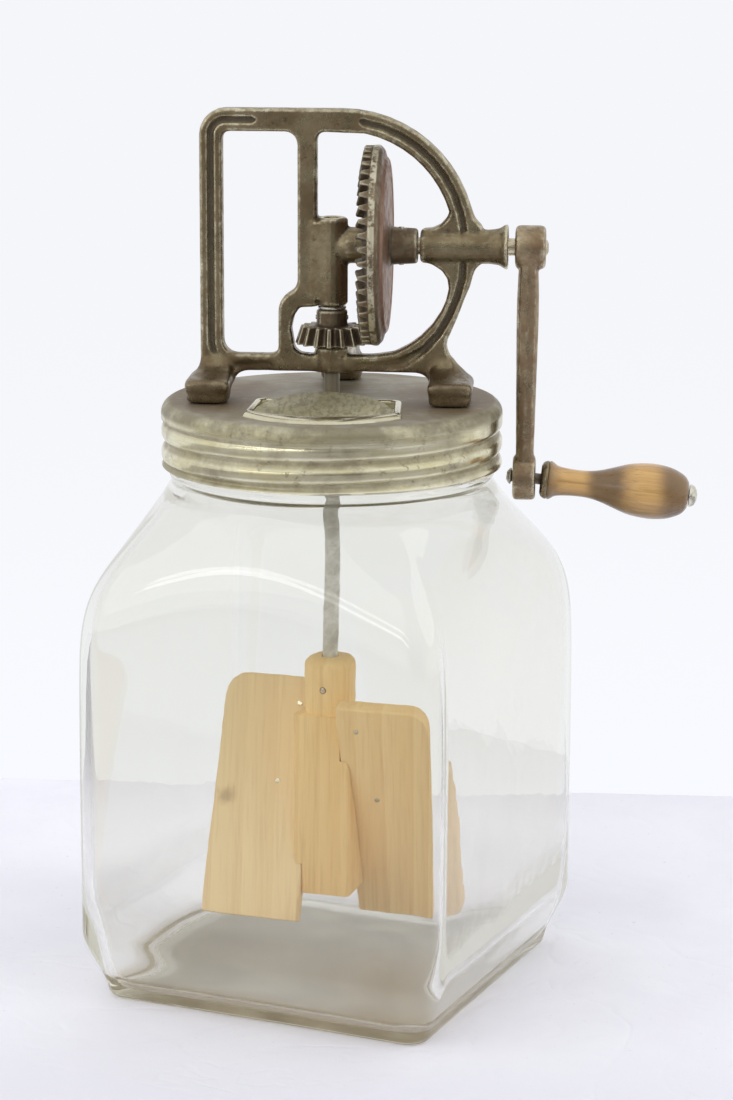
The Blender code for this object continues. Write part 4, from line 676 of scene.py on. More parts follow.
flap_tin, tree, tin, place, colour = tinned(
    "flap_tin", ((196, 190, 158), (176, 169, 132), (150, 143, 110), (92, 80, 54), (210, 204, 176)),
    0.9, 0.5, (0.5, 0.3), (0.4, 0.6))
brushed = mapped(place, scale=(1.0, 0.35, 1.0))
scuffs = spread(clouds(brushed, 620.0, 4.0, 0.7), 0.44, 0.62)
fill(tin, {"Base Color": blend_colour(times(scuffs, 0.55), colour, shade(118, 110, 80))})
worn_tin, tree, tin, place, colour = tinned(
    "worn_tin", ((228, 224, 196), (212, 204, 164), (172, 164, 138), (98, 82, 54), (240, 238, 220)))
spot = parts_of(place)
way_round = sums("DIVIDE", sums("ARCTAN2", spot["Y"], spot["X"]), 2 * math.pi)
climb = sums("DIVIDE", less(spot["Z"], LID_BOTTOM + THREAD_PHASE), THREAD_PITCH)
turns = times(less(climb, way_round), 2 * math.pi)
groove = spread(sums("COSINE", turns), -0.1, 0.9)
on_skirt = spread(spot["Z"], THREAD_TOP + 0.0015, THREAD_TOP - 0.0005)
patchy = spread(clouds(place, 60.0, 5.0, 0.7), 0.30, 0.60, 0.35, 1.0)
dirt = times(times(groove, on_skirt), patchy)
colour = blend_colour(times(dirt, 0.6), colour, shade(112, 98, 70))
below_collar = spread(spot["Z"], LID_TOP + 0.0003, LID_TOP + 0.00005)
# Painted shade mixed with some dirt: the rounded edge and the top of the skirt are darkened in patches.
shoulder = times(times(spread(spot["Z"], RIM_SHADE_FROM, RIM_SHADE_FULL), patchy), below_collar)
colour = blend_colour(times(shoulder, 0.8), colour, shade(114, 105, 82))
flat = times(spread(upward_share(tree), 0.82, 0.98), below_collar)
tarnish = blend_colour(spread(clouds(place, 40.0, 6.0, 0.65, 0.5), 0.35, 0.65),
                       *shades((162, 156, 140), (136, 125, 102)))
mirrored = put(tree, "VectorMath", {0: place}, operation="ABSOLUTE").outputs[0]
by_foot = spread(measured("DISTANCE", mirrored, (FOOT_X, FOOT_Y, LID_TOP)), 0.032, 0.010)
tarnish = blend_colour(times(by_foot, 0.75), tarnish, shade(114, 94, 68))
scratched = mapped(place, scale=(1.0, 9.0, 1.0), rotation=(0, 0, 0.6))
scratches = spread(clouds(scratched, 150.0, 3.0, 0.7), 0.60, 0.68)
tarnish = blend_colour(times(scratches, 0.35), tarnish, shade(206, 200, 186))
# Painted highlight: the raised collar is lightened toward pale tin, as a bright bead.
collar_highlight = spread(spot["Z"], LID_TOP + 0.0002, LID_TOP + 0.0006)
colour = blend_colour(times(collar_highlight, 0.7), colour, shade(216, 210, 180))
fill(tin, {"Base Color": blend_colour(flat, colour, tarnish)})
for label, clean, dirty, on_flat in (("Metallic", 0.95, 0.6, 0.4), ("Roughness", 0.20, 0.45, 0.55)):
    around = spread(larger(dirt, shoulder), 0.0, 1.0, clean, dirty)
    fill(tin, {label: put(tree, "Mix", {0: flat, 2: around, 3: on_flat}).outputs[0]})
print("worn_tin and flap_tin are ready")

# %% [markdown]
# ## Wood
#
# Wood is rings about a pith, far off to one side on a sawn board, with fine fibres along
# the grain. The group takes coordinates whose Z runs with the grain. A wave texture draws
# the rings and stretched noise the fibres.

# %% Wood grain group
FIBRES = 900.0
wood_grain, start, end = new_group(
    "wood_grain", [("Place", "NodeSocketVector", None), ("Rings", "NodeSocketFloat", 60.0)],
    ["Ring", "Fibre", "Patch"])
drawn = mapped(start.outputs["Place"], scale=(1.0, 1.0, 0.12))
thin = mapped(start.outputs["Place"], scale=(1.0, 1.0, 0.035))
rings = put(wood_grain, "TexWave",
            {"Vector": drawn, "Scale": start.outputs["Rings"], "Distortion": 5.0, "Detail": 2.0,
             "Detail Scale": 0.6, "Detail Roughness": 0.5},
            wave_type="BANDS", bands_direction="X", wave_profile="SAW")
fill(end, {"Ring": rings.outputs["Fac"], "Fibre": clouds(thin, FIBRES, 4.0, 0.65),
           "Patch": spread(clouds(drawn, 30.0, 3.0), 0.35, 0.65)})
print("wood_grain has outputs Ring, Fibre, Patch")


# %% Wood finishes
def wood(name, turn, tones, rings, ring_share=0.5, fibre_share=0.35, roughness=0.6, shift=(0, 0, 0)):
    """A board whose grain runs along the turned Z axis; tones are early wood, late wood, patch, fibre."""
    early, late, patch, fibre = shades(*tones)
    material, tree, board, place = new_material(name)
    laid = mapped(place, rotation=turn, location=shift)
    grain = use_group(tree, wood_grain, {"Place": laid, "Rings": rings})
    colour = blend_colour(times(grain["Ring"], ring_share), early, late)
    colour = blend_colour(times(grain["Patch"], 0.45), colour, patch)
    fibres = spread(grain["Fibre"], 0.45, 0.75, 0.0, fibre_share)
    colour = blend_colour(fibres, colour, fibre)
    fill(board, {"Base Color": colour,
                 "Roughness": spread(grain["Fibre"], 0.3, 0.7, roughness - 0.08, roughness + 0.08)})
    roughen(board, plus(grain["Fibre"], times(grain["Ring"], 0.3)), 0.25, 0.0003)
    return material, tree, board, place, colour


PADDLE_TURN = math.radians(-13.5)
PADDLE_TILT = math.radians(19.7)
KNOT = (-0.0411, 0.0065, 0.068)
left_wood, tree, board, place, colour = wood(
    "left_paddle_wood", (PADDLE_TILT, 0, -PADDLE_TURN),
    ((255, 228, 174), (240, 204, 146), (248, 212, 152), (218, 178, 122)), 22.0, 0.35, 0.3)
ragged = plus(measured("DISTANCE", place, KNOT), times(clouds(place, 260.0, 4.0), 0.006))
stain = times(spread(ragged, 0.0085, 0.0035), 0.45)
fill(board, {"Base Color": blend_colour(stain, colour, shade(150, 104, 58))})
right_wood = wood(
    "right_paddle_wood", (-PADDLE_TILT, 0, -PADDLE_TURN),
    ((255, 224, 166), (240, 194, 128), (250, 214, 146), (216, 168, 110)), 30.0, shift=(0.011, 0.02, 0.03))[0]
core_wood = wood("core_wood", (0, 0, -PADDLE_TURN),
                 ((254, 222, 156), (236, 194, 124), (244, 198, 124), (204, 160, 100)), 34.0, 0.4)[0]
print("three pale woods are ready")

# %% [markdown]
# ## Glass
#
# Pressed glass is clear, with a grey-olive cast where it is thick. Volume absorption gives
# that cast only where light goes a long way through the glass, as in the base. The glass
# floor is painted darker and browner towards the front, as painted shade of the cloth under
# the jar. A ray that is caught in the glass for many turns would end in black, so it ends in
# a painted glow instead: dark olive streaks low in the base and pale grey above. Shadow rays
# pass nearly unhindered, so that the dasher inside is lit.

# %% Clear glass
GLASS_CAST = (0.86, 0.85, 0.76, 1.0)
GLASS_CAST_DENSITY = 9.0
WALL_TINTS = ((0.955, 0.955, 0.925, 1.0), (0.92, 0.92, 0.885, 1.0))
FLOOR_SHADE_TINTS = ((0.98, 0.97, 0.94, 1.0), (0.82, 0.77, 0.68, 1.0))
SHADOW_TINT = (0.93, 0.93, 0.92, 1.0)
FRONT_FACE = (-0.337, -0.941, 0.0)
SHOULDER_TINT_FROM, SHOULDER_TINT_FULL = 0.12, 0.18
FLOOR_FROM, FLOOR_FULL = 0.0110, 0.0065
MOST_MIRRORED = 2.5
MOST_BENT = 8.5

clear_glass, tree, glass, place = new_material("clear_glass")
fill(glass, {"Transmission Weight": 1.0, "Metallic": 0.0, "IOR": 1.5})
height = parts_of(place)["Z"]
tint = blend_colour(spread(height, SHOULDER_TINT_FROM, SHOULDER_TINT_FULL), *WALL_TINTS)
# Painted shade: the glass floor is darker and browner towards the front, where the cloth under the jar gets
# less light.
frontward = put(tree, "VectorMath", {0: place, 1: FRONT_FACE}, operation="DOT_PRODUCT")
floor_shade_tint = blend_colour(spread(frontward.outputs["Value"], -0.055, 0.055), *FLOOR_SHADE_TINTS)
low = spread(height, FLOOR_FROM, FLOOR_FULL)
fill(glass, {"Base Color": blend_colour(low, tint, floor_shade_tint)})
on_floor = times(low, spread(upward_share(tree), 0.8, 0.98))
haze = spread(clouds(place, 14.0, 4.0), 0.45, 0.75, 0.0, 0.05)
fill(glass, {"Roughness": plus(haze, times(on_floor, 0.34))})
roughen(glass, clouds(place, 70.0, 2.0), 0.08, 0.0006)
rays = put(tree, "LightPath")
through = put(tree, "BsdfTransparent", {"Color": SHADOW_TINT})
# Painted glow: a ray lost in the glass ends in an emission, dark olive streaks low in the base and pale grey
# above.
layered = mapped(place, scale=(1.0, 1.0, 14.0))
glow_streaks = spread(clouds(layered, 55.0, 4.0, 0.6), 0.35, 0.65)
low_glow_tone = blend_colour(glow_streaks, *shades((108, 97, 70), (178, 170, 146)))
painted_glow_tone = blend_colour(spread(height, 0.005, 0.015), low_glow_tone, shade(212, 211, 205))
painted_glow = put(tree, "Emission", {"Color": painted_glow_tone, "Strength": 1.0})
lost = larger(sums("GREATER_THAN", rays.outputs["Glossy Depth"], MOST_MIRRORED),
              sums("GREATER_THAN", rays.outputs["Ray Depth"], MOST_BENT))
mixed = blend_shaders(rays.outputs["Is Shadow Ray"], blend_shaders(lost, glass, painted_glow), through)
absorb = put(tree, "VolumeAbsorption", {"Color": GLASS_CAST, "Density": GLASS_CAST_DENSITY})
fill(tree.nodes["Material Output"], {"Surface": mixed.outputs[0], "Volume": absorb.outputs[0]})
print("clear_glass is ready")

# %% [markdown]
# ## The glass jar
#
# The jar is a rounded square below, cut off by a bell-shaped shoulder, with a round neck.
# One ring of edges is drawn out row by row, down the outside, under the base and up the
# inside, and every new row is set by the same rule that shaped the solid. The columns
# stand closer together at the corners, because glass shows any facet.

# %% Jar rule
JAR_TURN = math.radians(-19.7)
JAR_HEIGHT = 0.2270
BASE_HALF = 0.0668
BODY_HALF = 0.0751
BASE_CORNER = 0.008
BODY_CORNER = 0.0120
HEEL = 0.027
SHOULDER_TOP = 0.2000
SHOULDER_FOOT = 0.1340
NECK_RADIUS = 0.0602
NECK_BEAD = 0.0018
MOUTH_RADIUS = 0.0562
WALL = 0.0036
GLASS_FLOOR = 0.0040
FLOOR_ROUND = 0.0060
BASE_ROUND = 0.0024
INNER_CORNER = 0.0090
RIM_ROUND = 0.0016
BEAD_HALF = 0.0026
BELL_TOP = 0.0613
BELL_SLOPE = 0.608
BELL_BOW = 0.0617
MELD = 6.4
JAR_COLUMNS = 344
COLUMN_PINCH = 0.6


def square_reach(angle, half, corner):
    """Distance from the middle of a rounded square to its edge."""
    turned = abs((angle + math.pi / 4) % (math.pi / 2) - math.pi / 4)
    inner = half - corner
    if half * math.tan(turned) <= inner:
        return half / math.cos(turned)
    middle = inner * (math.cos(turned) + math.sin(turned))
    return middle + math.sqrt(max(middle ** 2 - 2 * inner ** 2 + corner ** 2, 0))


def body_reach(angle, height, inside=False):
    """Outside of the jar below the neck, or its inside, whose corners are filled with glass."""
    swell = ease(height / HEEL)
    half = BASE_HALF + (BODY_HALF - BASE_HALF) * swell
    corner = BASE_CORNER + (BODY_CORNER - BASE_CORNER) * swell
    fall = SHOULDER_TOP - height
    bell = BELL_TOP + BELL_SLOPE * fall + fall * fall / BELL_BOW
    if inside:
        half -= WALL
        corner = INNER_CORNER
        bell -= WALL
    return (square_reach(angle, half, corner) ** -MELD + bell ** -MELD) ** (-1 / MELD)


def neck_reach(height):
    """Outside of the round neck, with its bead at the shoulder's top."""
    bead = ease(1 - abs(height - SHOULDER_TOP) / BEAD_HALF)
    return NECK_RADIUS + NECK_BEAD * bead


def ripple_at(angle, height, depth):
    """Slight waves that pressing leaves in the wall."""
    spot = Vector((math.cos(angle), math.sin(angle), height * 14)) * 2.2
    return depth * noise.noise(spot)


for angle in (0, math.pi / 4):
    print("reach at mid height:", round(body_reach(angle, 0.09), 4))

# %% Jar rows
OUTSIDE_END = SHOULDER_TOP - 0.0024
BEAD_START = SHOULDER_TOP - 0.0016
BEAD_END = SHOULDER_TOP + 0.0028
OPENING_TOP = SHOULDER_TOP + 0.002
OPENING_END = SHOULDER_TOP - 0.012
OPENING_RUN = 0.012
INNER_FOOT = 0.03


def quarter(count):
    """The cosine and the sine at even steps along a quarter turn."""
    turns = [math.pi / 2 * step / (count - 1) for step in range(count)]
    return [(math.cos(turn), math.sin(turn)) for turn in turns]


def level_rows(kind, start, end, steps, first=1):
    """Rows at even steps from one height to another; with a first of 0 the start is a row too."""
    return [(kind, start + (end - start) * step / steps, 0) for step in range(first, steps + 1)]


rows = [("out", BASE_ROUND * (1 - c), BASE_ROUND * (s - 1)) for c, s in quarter(5)]
rows += level_rows("out", BASE_ROUND, HEEL, 12)
rows += level_rows("out", HEEL, SHOULDER_FOOT, 10)
rows += level_rows("out", SHOULDER_FOOT, OUTSIDE_END, 35)
rows += level_rows("neck", BEAD_START, BEAD_END, 8, 0)
rows.append(("neck", JAR_HEIGHT - 0.0030, 0))
rows += [("neck", JAR_HEIGHT - RIM_ROUND * (1 - s), -RIM_ROUND * (1 - c)) for c, s in quarter(5)]
rows += [("mouth", JAR_HEIGHT - RIM_ROUND * (1 - c), RIM_ROUND * (1 - s)) for c, s in quarter(5)]
rows.append(("mouth", SHOULDER_TOP + 0.008, 0))
rows += level_rows("in", OPENING_TOP, OPENING_END, 8, 0)
rows += level_rows("in", OPENING_END, SHOULDER_FOOT, 24)
rows += level_rows("in", SHOULDER_FOOT, INNER_FOOT, 10)[:-1]
rows += [("in", GLASS_FLOOR + FLOOR_ROUND * (1 - s), -FLOOR_ROUND * (1 - c)) for c, s in quarter(13)]
print("jar rows:", len(rows))


def row_reach(kind, angle, height, grow):
    """Distance from the axis for one row of the jar at one angle."""
    if kind == "out":
        return body_reach(angle, height) + grow + ripple_at(angle, height, 0.0001)
    if kind == "neck":
        return neck_reach(height) + grow
    if kind == "mouth":
        return MOUTH_RADIUS + grow
    below = body_reach(angle, height, True) + ripple_at(angle + 7, height, 0.0003)
    return MOUTH_RADIUS + (below - MOUTH_RADIUS) * ease((OPENING_TOP - height) / OPENING_RUN) + grow


# %% Draw out the jar
def fresh_ring(builder, edges):
    """Extrude a ring of edges; gives the new points and the new ring."""
    grown = bmesh.ops.extrude_edge_only(builder, edges=edges)["geom"]
    fresh = [item for item in grown if isinstance(item, bmesh.types.BMVert)]
    lines = [item for item in grown if isinstance(item, bmesh.types.BMEdge)]
    points = set(fresh)
    return fresh, [line for line in lines if points.issuperset(line.verts)]


def next_row(builder, edges, reach_at, height):
    """Draw a ring of edges out; reach_at gives each new point's distance from the axis."""
    points, ring = fresh_ring(builder, edges)
    for point in points:
        angle = math.atan2(point.co.y, point.co.x)
        point.co = polar(angle, reach_at(angle), height)
    return ring


def polar(angle, reach, height):
    return Vector((reach * math.cos(angle), reach * math.sin(angle), height))


INNER_SHARES = (0.8, 0.6, 0.4, 0.2, 0.03)
FOOT_SHARES = ((0.97, 0.0), (0.93, 0.0004), (0.88, 0.0010), (0.6, 0.0014), (0.3, 0.0016), (0.03, 0.0016))

builder = bmesh.new()
bmesh.ops.create_circle(builder, cap_ends=False, radius=1, segments=JAR_COLUMNS)
kind, height, grow = rows[0]
for point in builder.verts:
    even = math.atan2(point.co.y, point.co.x)
    angle = even + COLUMN_PINCH / 4 * math.sin(4 * even)
    point.co = polar(angle, row_reach(kind, angle, height, grow), height)
first_edges = list(builder.edges)
edges = first_edges
for kind, height, grow in rows[1:]:
    edges = next_row(builder, edges, lambda angle: row_reach(kind, angle, height, grow), height)
for share in INNER_SHARES:
    edges = next_row(builder, edges, lambda angle: share * row_reach(kind, angle, height, grow), height)
bmesh.ops.holes_fill(builder, edges=edges, sides=0)
edges = first_edges
for share, lift in FOOT_SHARES:
    edges = next_row(builder, edges, lambda angle: share * (body_reach(angle, 0) - BASE_ROUND), lift)
bmesh.ops.holes_fill(builder, edges=edges, sides=0)
settle(builder, Matrix.Rotation(JAR_TURN, 4, "Z"))
present("glass_jar_clear", builder, "jar", clear_glass, ["glass_jar"], crease=0)

# %% [markdown]
# ## The screw lid
#
# The lid is pressed from one disc of tin: a flat top with a rounded edge, a skirt with a
# rolled thread, and a collar raised round the vent. As for the jar, one ring is drawn out
# row by row. The top's rows run from the round edge to the half-moon collar, along
# straight lines to a point inside the vent, so every column stays a clean strip.

# %% Lid rule
LID_UNDER = 0.2273
LID_ROUND = 0.0050
LID_WALL = 0.0026
LID_CURL = 0.0007
THREAD_DEPTH = 0.0015
THREAD_RUNOUT = 0.0018
LID_COLUMNS = 320
SKIRT_ROWS = 52
DENT = 0.00018
VENT_MIDDLE = Vector((0, -0.034, 0))
VENT_NOOK = 0.004
COLLAR_SIZES = (0.0296, 0.0440, 0.0598, 0.0280, 0.0126)
WELL_SIZES = (0.0266, 0.0405, 0.0494, 0.0252, 0.0154)


def skirt_reach(angle, height):
    """Outside of the skirt, with its rolled thread and a few soft dents."""
    groove = LID_BOTTOM + THREAD_PHASE + THREAD_PITCH * angle / (2 * math.pi)
    wave = 0.5 + 0.5 * math.cos(2 * math.pi * (height - groove) / THREAD_PITCH)
    fade = ease((THREAD_TOP - height) / THREAD_RUNOUT) * ease((height - LID_BOTTOM) / THREAD_RUNOUT)
    dent = DENT * noise.noise(Vector((3 * math.cos(angle), 3 * math.sin(angle), height * 60)))
    return LID_RADIUS - THREAD_DEPTH * wave ** 2 * fade + dent


def half_moon(half, side, front, back_half, back):
    """Outline of the collar or the well: bowed in front, straight at the back."""
    nook = VENT_NOOK
    crown = front - side
    radius = (half ** 2 + crown ** 2) / (2 * crown)
    sweep = math.asin(half / radius)
    outline = []
    for step in range(49):
        turn = -sweep + 2 * sweep * step / 48
        outline.append((radius * math.sin(turn), -front + radius * (1 - math.cos(turn))))
    corner = [(half - nook / 8, -side + nook), (back_half, -back - nook / 2), (back_half - nook / 2, -back)]
    outline += corner + [(-x, y) for x, y in reversed(corner)]
    return [Vector((*point, 0)) for point in outline]


def towards(outline, direction):
    """Where a ray from the middle of the vent meets an outline."""
    for index, start in enumerate(outline):
        end = outline[(index + 1) % len(outline)]
        a, b = start - VENT_MIDDLE, end - VENT_MIDDLE
        over = a.x * direction.y - a.y * direction.x
        under = b.x * direction.y - b.y * direction.x
        if over * under <= 0 and over != under:
            share = over / (over - under)
            meet = a + (b - a) * share
            if meet.dot(direction) > 0:
                return VENT_MIDDLE + meet
    return VENT_MIDDLE.copy()


collar = half_moon(*COLLAR_SIZES)
well = half_moon(*WELL_SIZES)
print("collar outline:", len(collar), "points")

# %% Draw out the lid
builder = bmesh.new()
bmesh.ops.create_circle(builder, cap_ends=False, radius=LID_RADIUS - LID_ROUND, segments=LID_COLUMNS)
bmesh.ops.translate(builder, verts=builder.verts, vec=(0, 0, LID_TOP))
first_edges = list(builder.edges)
edges = first_edges
for c, s in quarter(11)[1:]:
    height = LID_TOP - LID_ROUND * (1 - c)
    edges = next_row(builder, edges, lambda angle: LID_RADIUS - LID_ROUND * (1 - s), height)
skirt_start = THREAD_TOP + 0.001
skirt_end = LID_BOTTOM + LID_CURL
for row in range(1, SKIRT_ROWS + 1):
    height = skirt_start + (skirt_end - skirt_start) * row / SKIRT_ROWS
    edges = next_row(builder, edges, lambda angle: skirt_reach(angle, height), height)
bore = LID_RADIUS - LID_WALL
inner_rows = ((LID_RADIUS - 0.0002, LID_BOTTOM + 0.0002), (LID_RADIUS - LID_CURL, LID_BOTTOM),
              (bore + LID_CURL, LID_BOTTOM), (bore + 0.0002, LID_BOTTOM + 0.0002),
              (bore, LID_BOTTOM + LID_CURL), (bore, LID_UNDER - 0.0030),
              (bore - 0.0008, LID_UNDER - 0.0008), (bore - 0.0026, LID_UNDER))
for reach, height in inner_rows:
    edges = next_row(builder, edges, lambda angle: reach, height)
print("the skirt has", SKIRT_ROWS, "rows of", LID_COLUMNS)


def draw_in(builder, edges, levels):
    """Draw a ring in towards the vent; each level has two outlines, a share between them and a height."""
    ways = {}
    for edge in edges:
        for point in edge.verts:
            flat = Vector((point.co.x, point.co.y, 0))
            ways[point] = (flat, (flat - VENT_MIDDLE).normalized())
    for first, second, share, height in levels:
        points, edges = fresh_ring(builder, edges)
        old_ways, ways = ways, {}
        for point in points:
            parents = [edge.other_vert(point) for edge in point.link_edges]
            start, way = ways[point] = next(old_ways[parent] for parent in parents if parent in old_ways)
            near = start if first is None else towards(first, way)
            far = start if second is None else towards(second, way)
            point.co = near.lerp(far, share)
            point.co.z = height


COLLAR_HEIGHT = 0.0019
COLLAR_CROWN = ((0.0, 0.0), (0.04, 0.16), (0.10, 0.42), (0.18, 0.68), (0.30, 0.90), (0.45, 1.0),
                (0.62, 0.98), (0.78, 0.92), (0.90, 0.84), (0.97, 0.74), (1.0, 0.60))
top_levels = [(None, collar, share, LID_TOP) for share in (0.25, 0.5, 0.75, 0.92)]
top_levels += [(collar, well, share, LID_TOP + COLLAR_HEIGHT * rise) for share, rise in COLLAR_CROWN]
top_levels += [(well, well, 0, LID_TOP), (well, well, 0, LID_UNDER)]
draw_in(builder, first_edges, top_levels)
draw_in(builder, edges, [(None, well, share, LID_UNDER) for share in (0.5, 1.0)])
bmesh.ops.remove_doubles(builder, verts=builder.verts, dist=10 * SEAM)
settle(builder)
present("screw_lid_tin", builder, "lid", worn_tin, ["screw_lid"], crease=50)

# %% [markdown]
# ## Vent flap
#
# The flap is a stamped half-moon that rocks on its two end stubs. It is thin sheet, so a
# merged copy of the solid with a small bevel has the right shape.

# %% Vent flap
builder = cleaned("vent_flap")
soften(builder, 0.0002)
present("vent_flap_tin", builder, "vent", flap_tin, ["vent_flap"])

# %% [markdown]
# ## Castings
#
# The frame, the gear, the pinion and the crank arm are sand castings. Their solids have
# the right shapes with crisp edges; the remesh rounds them and fills their inside corners.

# %% Castings
FEET_MELT = (0.2470, 40)
castings = (("cast_frame", 0.0005, 8, FEET_MELT, "lid", cast_iron, "cast_iron"),
            ("drive_gear", 0.0004, 3, None, "crank", gear_iron, "gear_iron"),
            ("pinion", 0.0003, 3, None, "dasher", pinion_iron, "gear_iron"),
            ("crank_arm", 0.0004, 16, None, "crank", crank_iron, "crank_iron"))
for name, voxel, rounds, melt, body, material, slot in castings:
    present(name + "_iron", recast(name, voxel, rounds, melt), body, material, [name], crease=0)

# %% [markdown]
# ## Shafts, pins, rivets and small turned parts
#
# These are plain turned bars and rings. Each is a short profile spun about Z, with its
# corners rounded by a bevel, and then laid along its own axis.

# %% Turned metal parts
DROOP = math.radians(5.4)
GRIP_PLACE = (0.0735, 0, 0.1989)
GEAR_PIN_X = 0.0262
PINION_PIN_Z = 0.2594
NECK_PIN_Z = 0.1160
RIVET_Z = 0.2288
REAR_FOOT_Y = 0.0460
SHAFT = 0.0030
BORE = 0.0033
CRANK_SHAFT = 0.0033
on_axis = Matrix.Translation((0, 0, AXIS_Z)) @ ALONG_X
on_grip = Matrix.Translation(GRIP_PLACE) @ Matrix.Rotation(QUARTER + DROOP, 4, "Y")
on_neck_pin = (Matrix.Translation((0, 0, NECK_PIN_Z)) @ Matrix.Rotation(PADDLE_TURN, 4, "Z")
               @ Matrix.Rotation(QUARTER, 4, "X"))


def turned_part(name, profile, body, material, matrix=Matrix(), ring=False, edge=0.0003, steps=48):
    """Spin a profile, round its corners and put it in place of the CAD node it is named for."""
    builder = spun(profile, steps, ring)
    soften(builder, edge)
    settle(builder, matrix)
    present(name + "_turned", builder, body, material, [name])


turned_part("dasher_shaft", [(SHAFT, height) for height in (0.0700, 0.12, 0.17, 0.22, 0.2954)],
            "dasher", dull_steel, edge=0.0007)
turned_part("crank_shaft", [(CRANK_SHAFT, 0.0080), (CRANK_SHAFT, 0.03), (CRANK_SHAFT, 0.0805),
                            (0.0026, 0.0810), (0.0016, 0.0815)], "crank", crank_iron, on_axis)
turned_part("gear_pin", [(0.0011, -0.0072), (0.0011, 0.0072)], "crank", steel,
            Matrix.Translation((GEAR_PIN_X, 0, AXIS_Z)), steps=20)
turned_part("pinion_pin", [(0.0009, -0.0062), (0.0009, 0.0062)], "dasher", steel,
            Matrix.Translation((0, 0, PINION_PIN_Z)) @ ALONG_X, steps=20)
turned_part("dasher_pin", [(0.0010, -0.0100), (0.0010, 0.0100)], "dasher", crank_iron,
            on_neck_pin, steps=20)
turned_part("thrust_washer", [(BORE, 0.2627), (0.0054, 0.2627), (0.0054, 0.2637), (BORE, 0.2637)],
            "dasher", steel, ring=True)
turned_part("lid_bush", [(BORE, 0.2261), (0.0063, 0.2261), (0.0063, 0.2270), (0.0046, 0.2270),
                         (0.0046, 0.2288), (0.0066, 0.2288), (0.0062, 0.2297), (BORE, 0.2297)],
            "lid", brass, ring=True)
rivet = [(0.0022, 0.0060), (0.0022, -0.0018), (0.0042, -0.0018), (0.0040, -0.0026), (0.0030, -0.0033),
         (0.0010, -0.0036)]
for side, x, y in (("left", -FOOT_X, -FOOT_Y), ("right", FOOT_X, -FOOT_Y), ("rear", 0, REAR_FOOT_Y)):
    turned_part("frame_rivet_" + side, rivet, "lid", steel,
                Matrix.Translation((x, y, RIVET_Z)), steps=32)
turned_part("grip_spindle", [(0.0015, -0.0067), (0.0031, -0.0055), (0.0031, -0.0049), (0.0021, -0.0049),
                             (0.0021, 0.0642)], "crank", steel, on_grip)
turned_part("grip_ferrule", [(0.0024, 0.0063), (0.0052, 0.0063), (0.0066, 0.0070), (0.0073, 0.0082),
                             (0.0073, 0.0091), (0.0024, 0.0091)], "grip", cast_iron, on_grip,
            ring=True)
turned_part("grip_end_cap", [(0.0043, 0.0629), (0.0042, 0.0640), (0.0036, 0.0650), (0.0024, 0.0657),
                             (0.0010, 0.0660)], "crank", cap_steel, on_grip)

# %% [markdown]
# ## The turned grip
#
# The grip was turned in one piece and varnished a dark brown. Years of hands have worn
# the varnish off in two golden rings, one on the neck and one on the swell.

# %% Grip
GRIP_START = 0.0091
GRIP_LENGTH = 0.0534
GRIP_RADIUS = 0.0105
GRIP_BORE = 0.0024
GRIP_SHARES = ((0.0, 0.66), (0.012, 0.70), (0.03, 0.66), (0.07, 0.545), (0.16, 0.49), (0.25, 0.48),
               (0.32, 0.515), (0.39, 0.60), (0.48, 0.755), (0.57, 0.905), (0.665, 0.985), (0.76, 1.0),
               (0.855, 0.94), (0.93, 0.80), (0.975, 0.65), (1.0, 0.47))
NECK_RING = (0.081, 0.090, 0.094, 0.103)
SWELL_RING = (0.106, 0.118, 0.121, 0.132)
outline = [(GRIP_RADIUS * across, GRIP_START + GRIP_LENGTH * along) for along, across in GRIP_SHARES]
profile = [(GRIP_BORE, GRIP_START)] + flowing(outline, 5) + [(GRIP_BORE, GRIP_START + GRIP_LENGTH)]
builder = spun(profile, 80, ring=True)
settle(builder, on_grip)

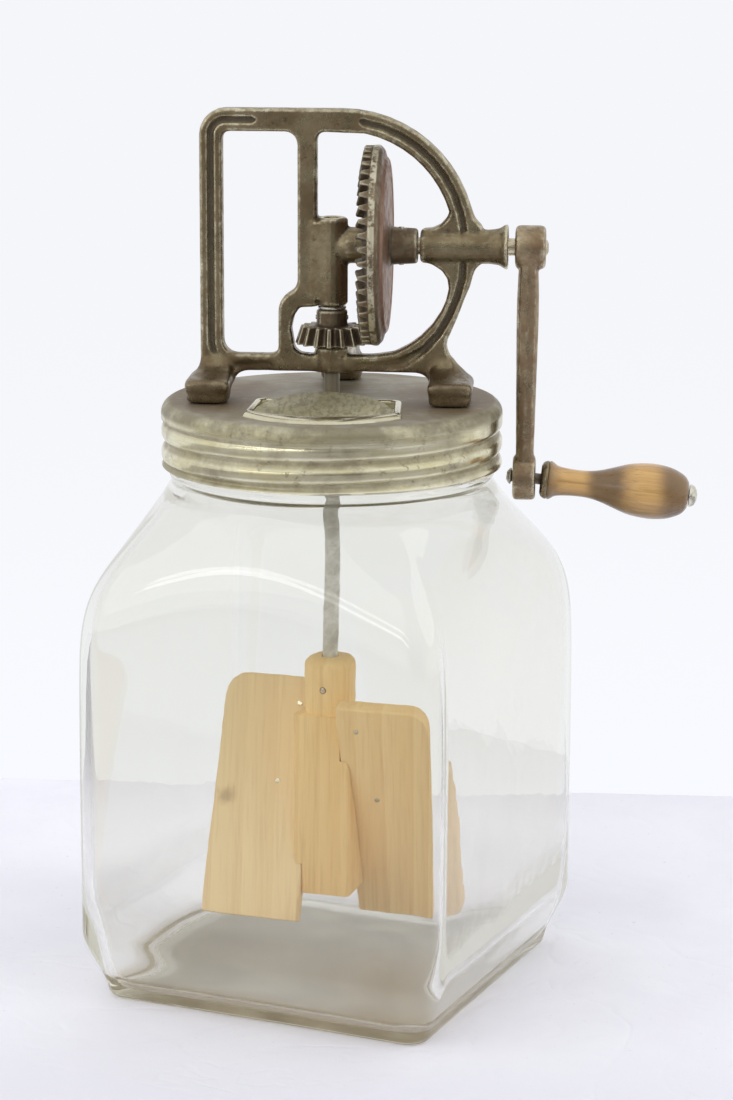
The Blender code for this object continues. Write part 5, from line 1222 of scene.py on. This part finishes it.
grip_wood, tree, board, place, colour = wood(
    "grip_wood", (0, -(QUARTER + DROOP), 0), ((214, 172, 104), (178, 134, 74), (196, 150, 84), (120, 86, 46)),
    90.0, 0.5, 0.5, 0.34)
along = parts_of(place)["X"]
on_neck = zone(along, *NECK_RING)
on_swell = zone(along, *SWELL_RING)
blotch = spread(clouds(place, 60.0, 2.0), 0.3, 0.7, -0.14, 0.14)
bare = spread(plus(larger(on_neck, on_swell), blotch), 0.0, 1.1)
varnish = blend_colour(plus(blotch, 0.5), *shades((100, 76, 42), (136, 104, 60)))
colour = blend_colour(bare, varnish, colour)
# Painted shade: the underside of the grip is darkened.
shaded_underside = plus(upward_share(tree), times(blotch, 0.6))
colour = blend_colour(spread(shaded_underside, -0.2, -0.95, 0.0, 0.6), colour, shade(86, 66, 38))
fill(board, {"Base Color": colour, "Coat Weight": 0.6, "Coat Roughness": 0.18})
present("wooden_grip_turned", builder, "grip", grip_wood, ["wooden_grip"], crease=60)

# %% [markdown]
# ## The dasher
#
# A square block with a turned neck carries two slanted boards. The solids are right, so
# merged copies get rounded edges and wood whose grain runs along each board.

# %% Dasher
for name, material, slot, width in (("dasher_core", core_wood, "core_wood", 0.0006),
                                    ("dasher_paddle_left", left_wood, "pale_wood", 0.0009),
                                    ("dasher_paddle_right", right_wood, "pale_wood", 0.0009)):
    builder = cleaned(name)
    soften(builder, width, segments=3, sharp=35)
    present(name + "_wood", builder, "dasher", material, [name], crease=50)

# %% [markdown]
# ## Nails
#
# Two small wire nails hold each board in its slot. Only their flat heads show, a little
# proud of the wood. They are placed in a board's own frame and turned with it.

# %% Nails
PADDLE_MIDDLE = 0.0672
PADDLE_THICK = 0.0066
NAIL_RADIUS = 0.0010
NAIL_PROUD = 0.0002
NAIL_BITE = 0.0012
NAIL_EDGE = 0.00015
NAIL_PLACES = ((0.0160, 0.0385), (0.0212, 0.0070))
NAIL_FACES = (("front", -1), ("back", 1))
for side, swing in (("right", 0), ("left", math.pi)):
    on_board = (Matrix.Translation((0, 0, PADDLE_MIDDLE)) @ Matrix.Rotation(PADDLE_TURN + swing, 4, "Z")
                @ Matrix.Rotation(PADDLE_TILT, 4, "X"))
    for number, (across, up) in enumerate(NAIL_PLACES, 1):
        laid = on_board @ Matrix.Translation((across, 0, up)) @ Matrix.Rotation(-QUARTER, 4, "X")
        for face, sign in NAIL_FACES:
            ends = sorted((sign * (PADDLE_THICK / 2 + NAIL_PROUD), sign * (PADDLE_THICK / 2 - NAIL_BITE)))
            builder = spun([(NAIL_RADIUS, end) for end in ends], 20)
            soften(builder, NAIL_EDGE)
            settle(builder, laid)
            present("nail_%s_%d_%s" % (side, number, face), builder, "dasher", crank_iron)
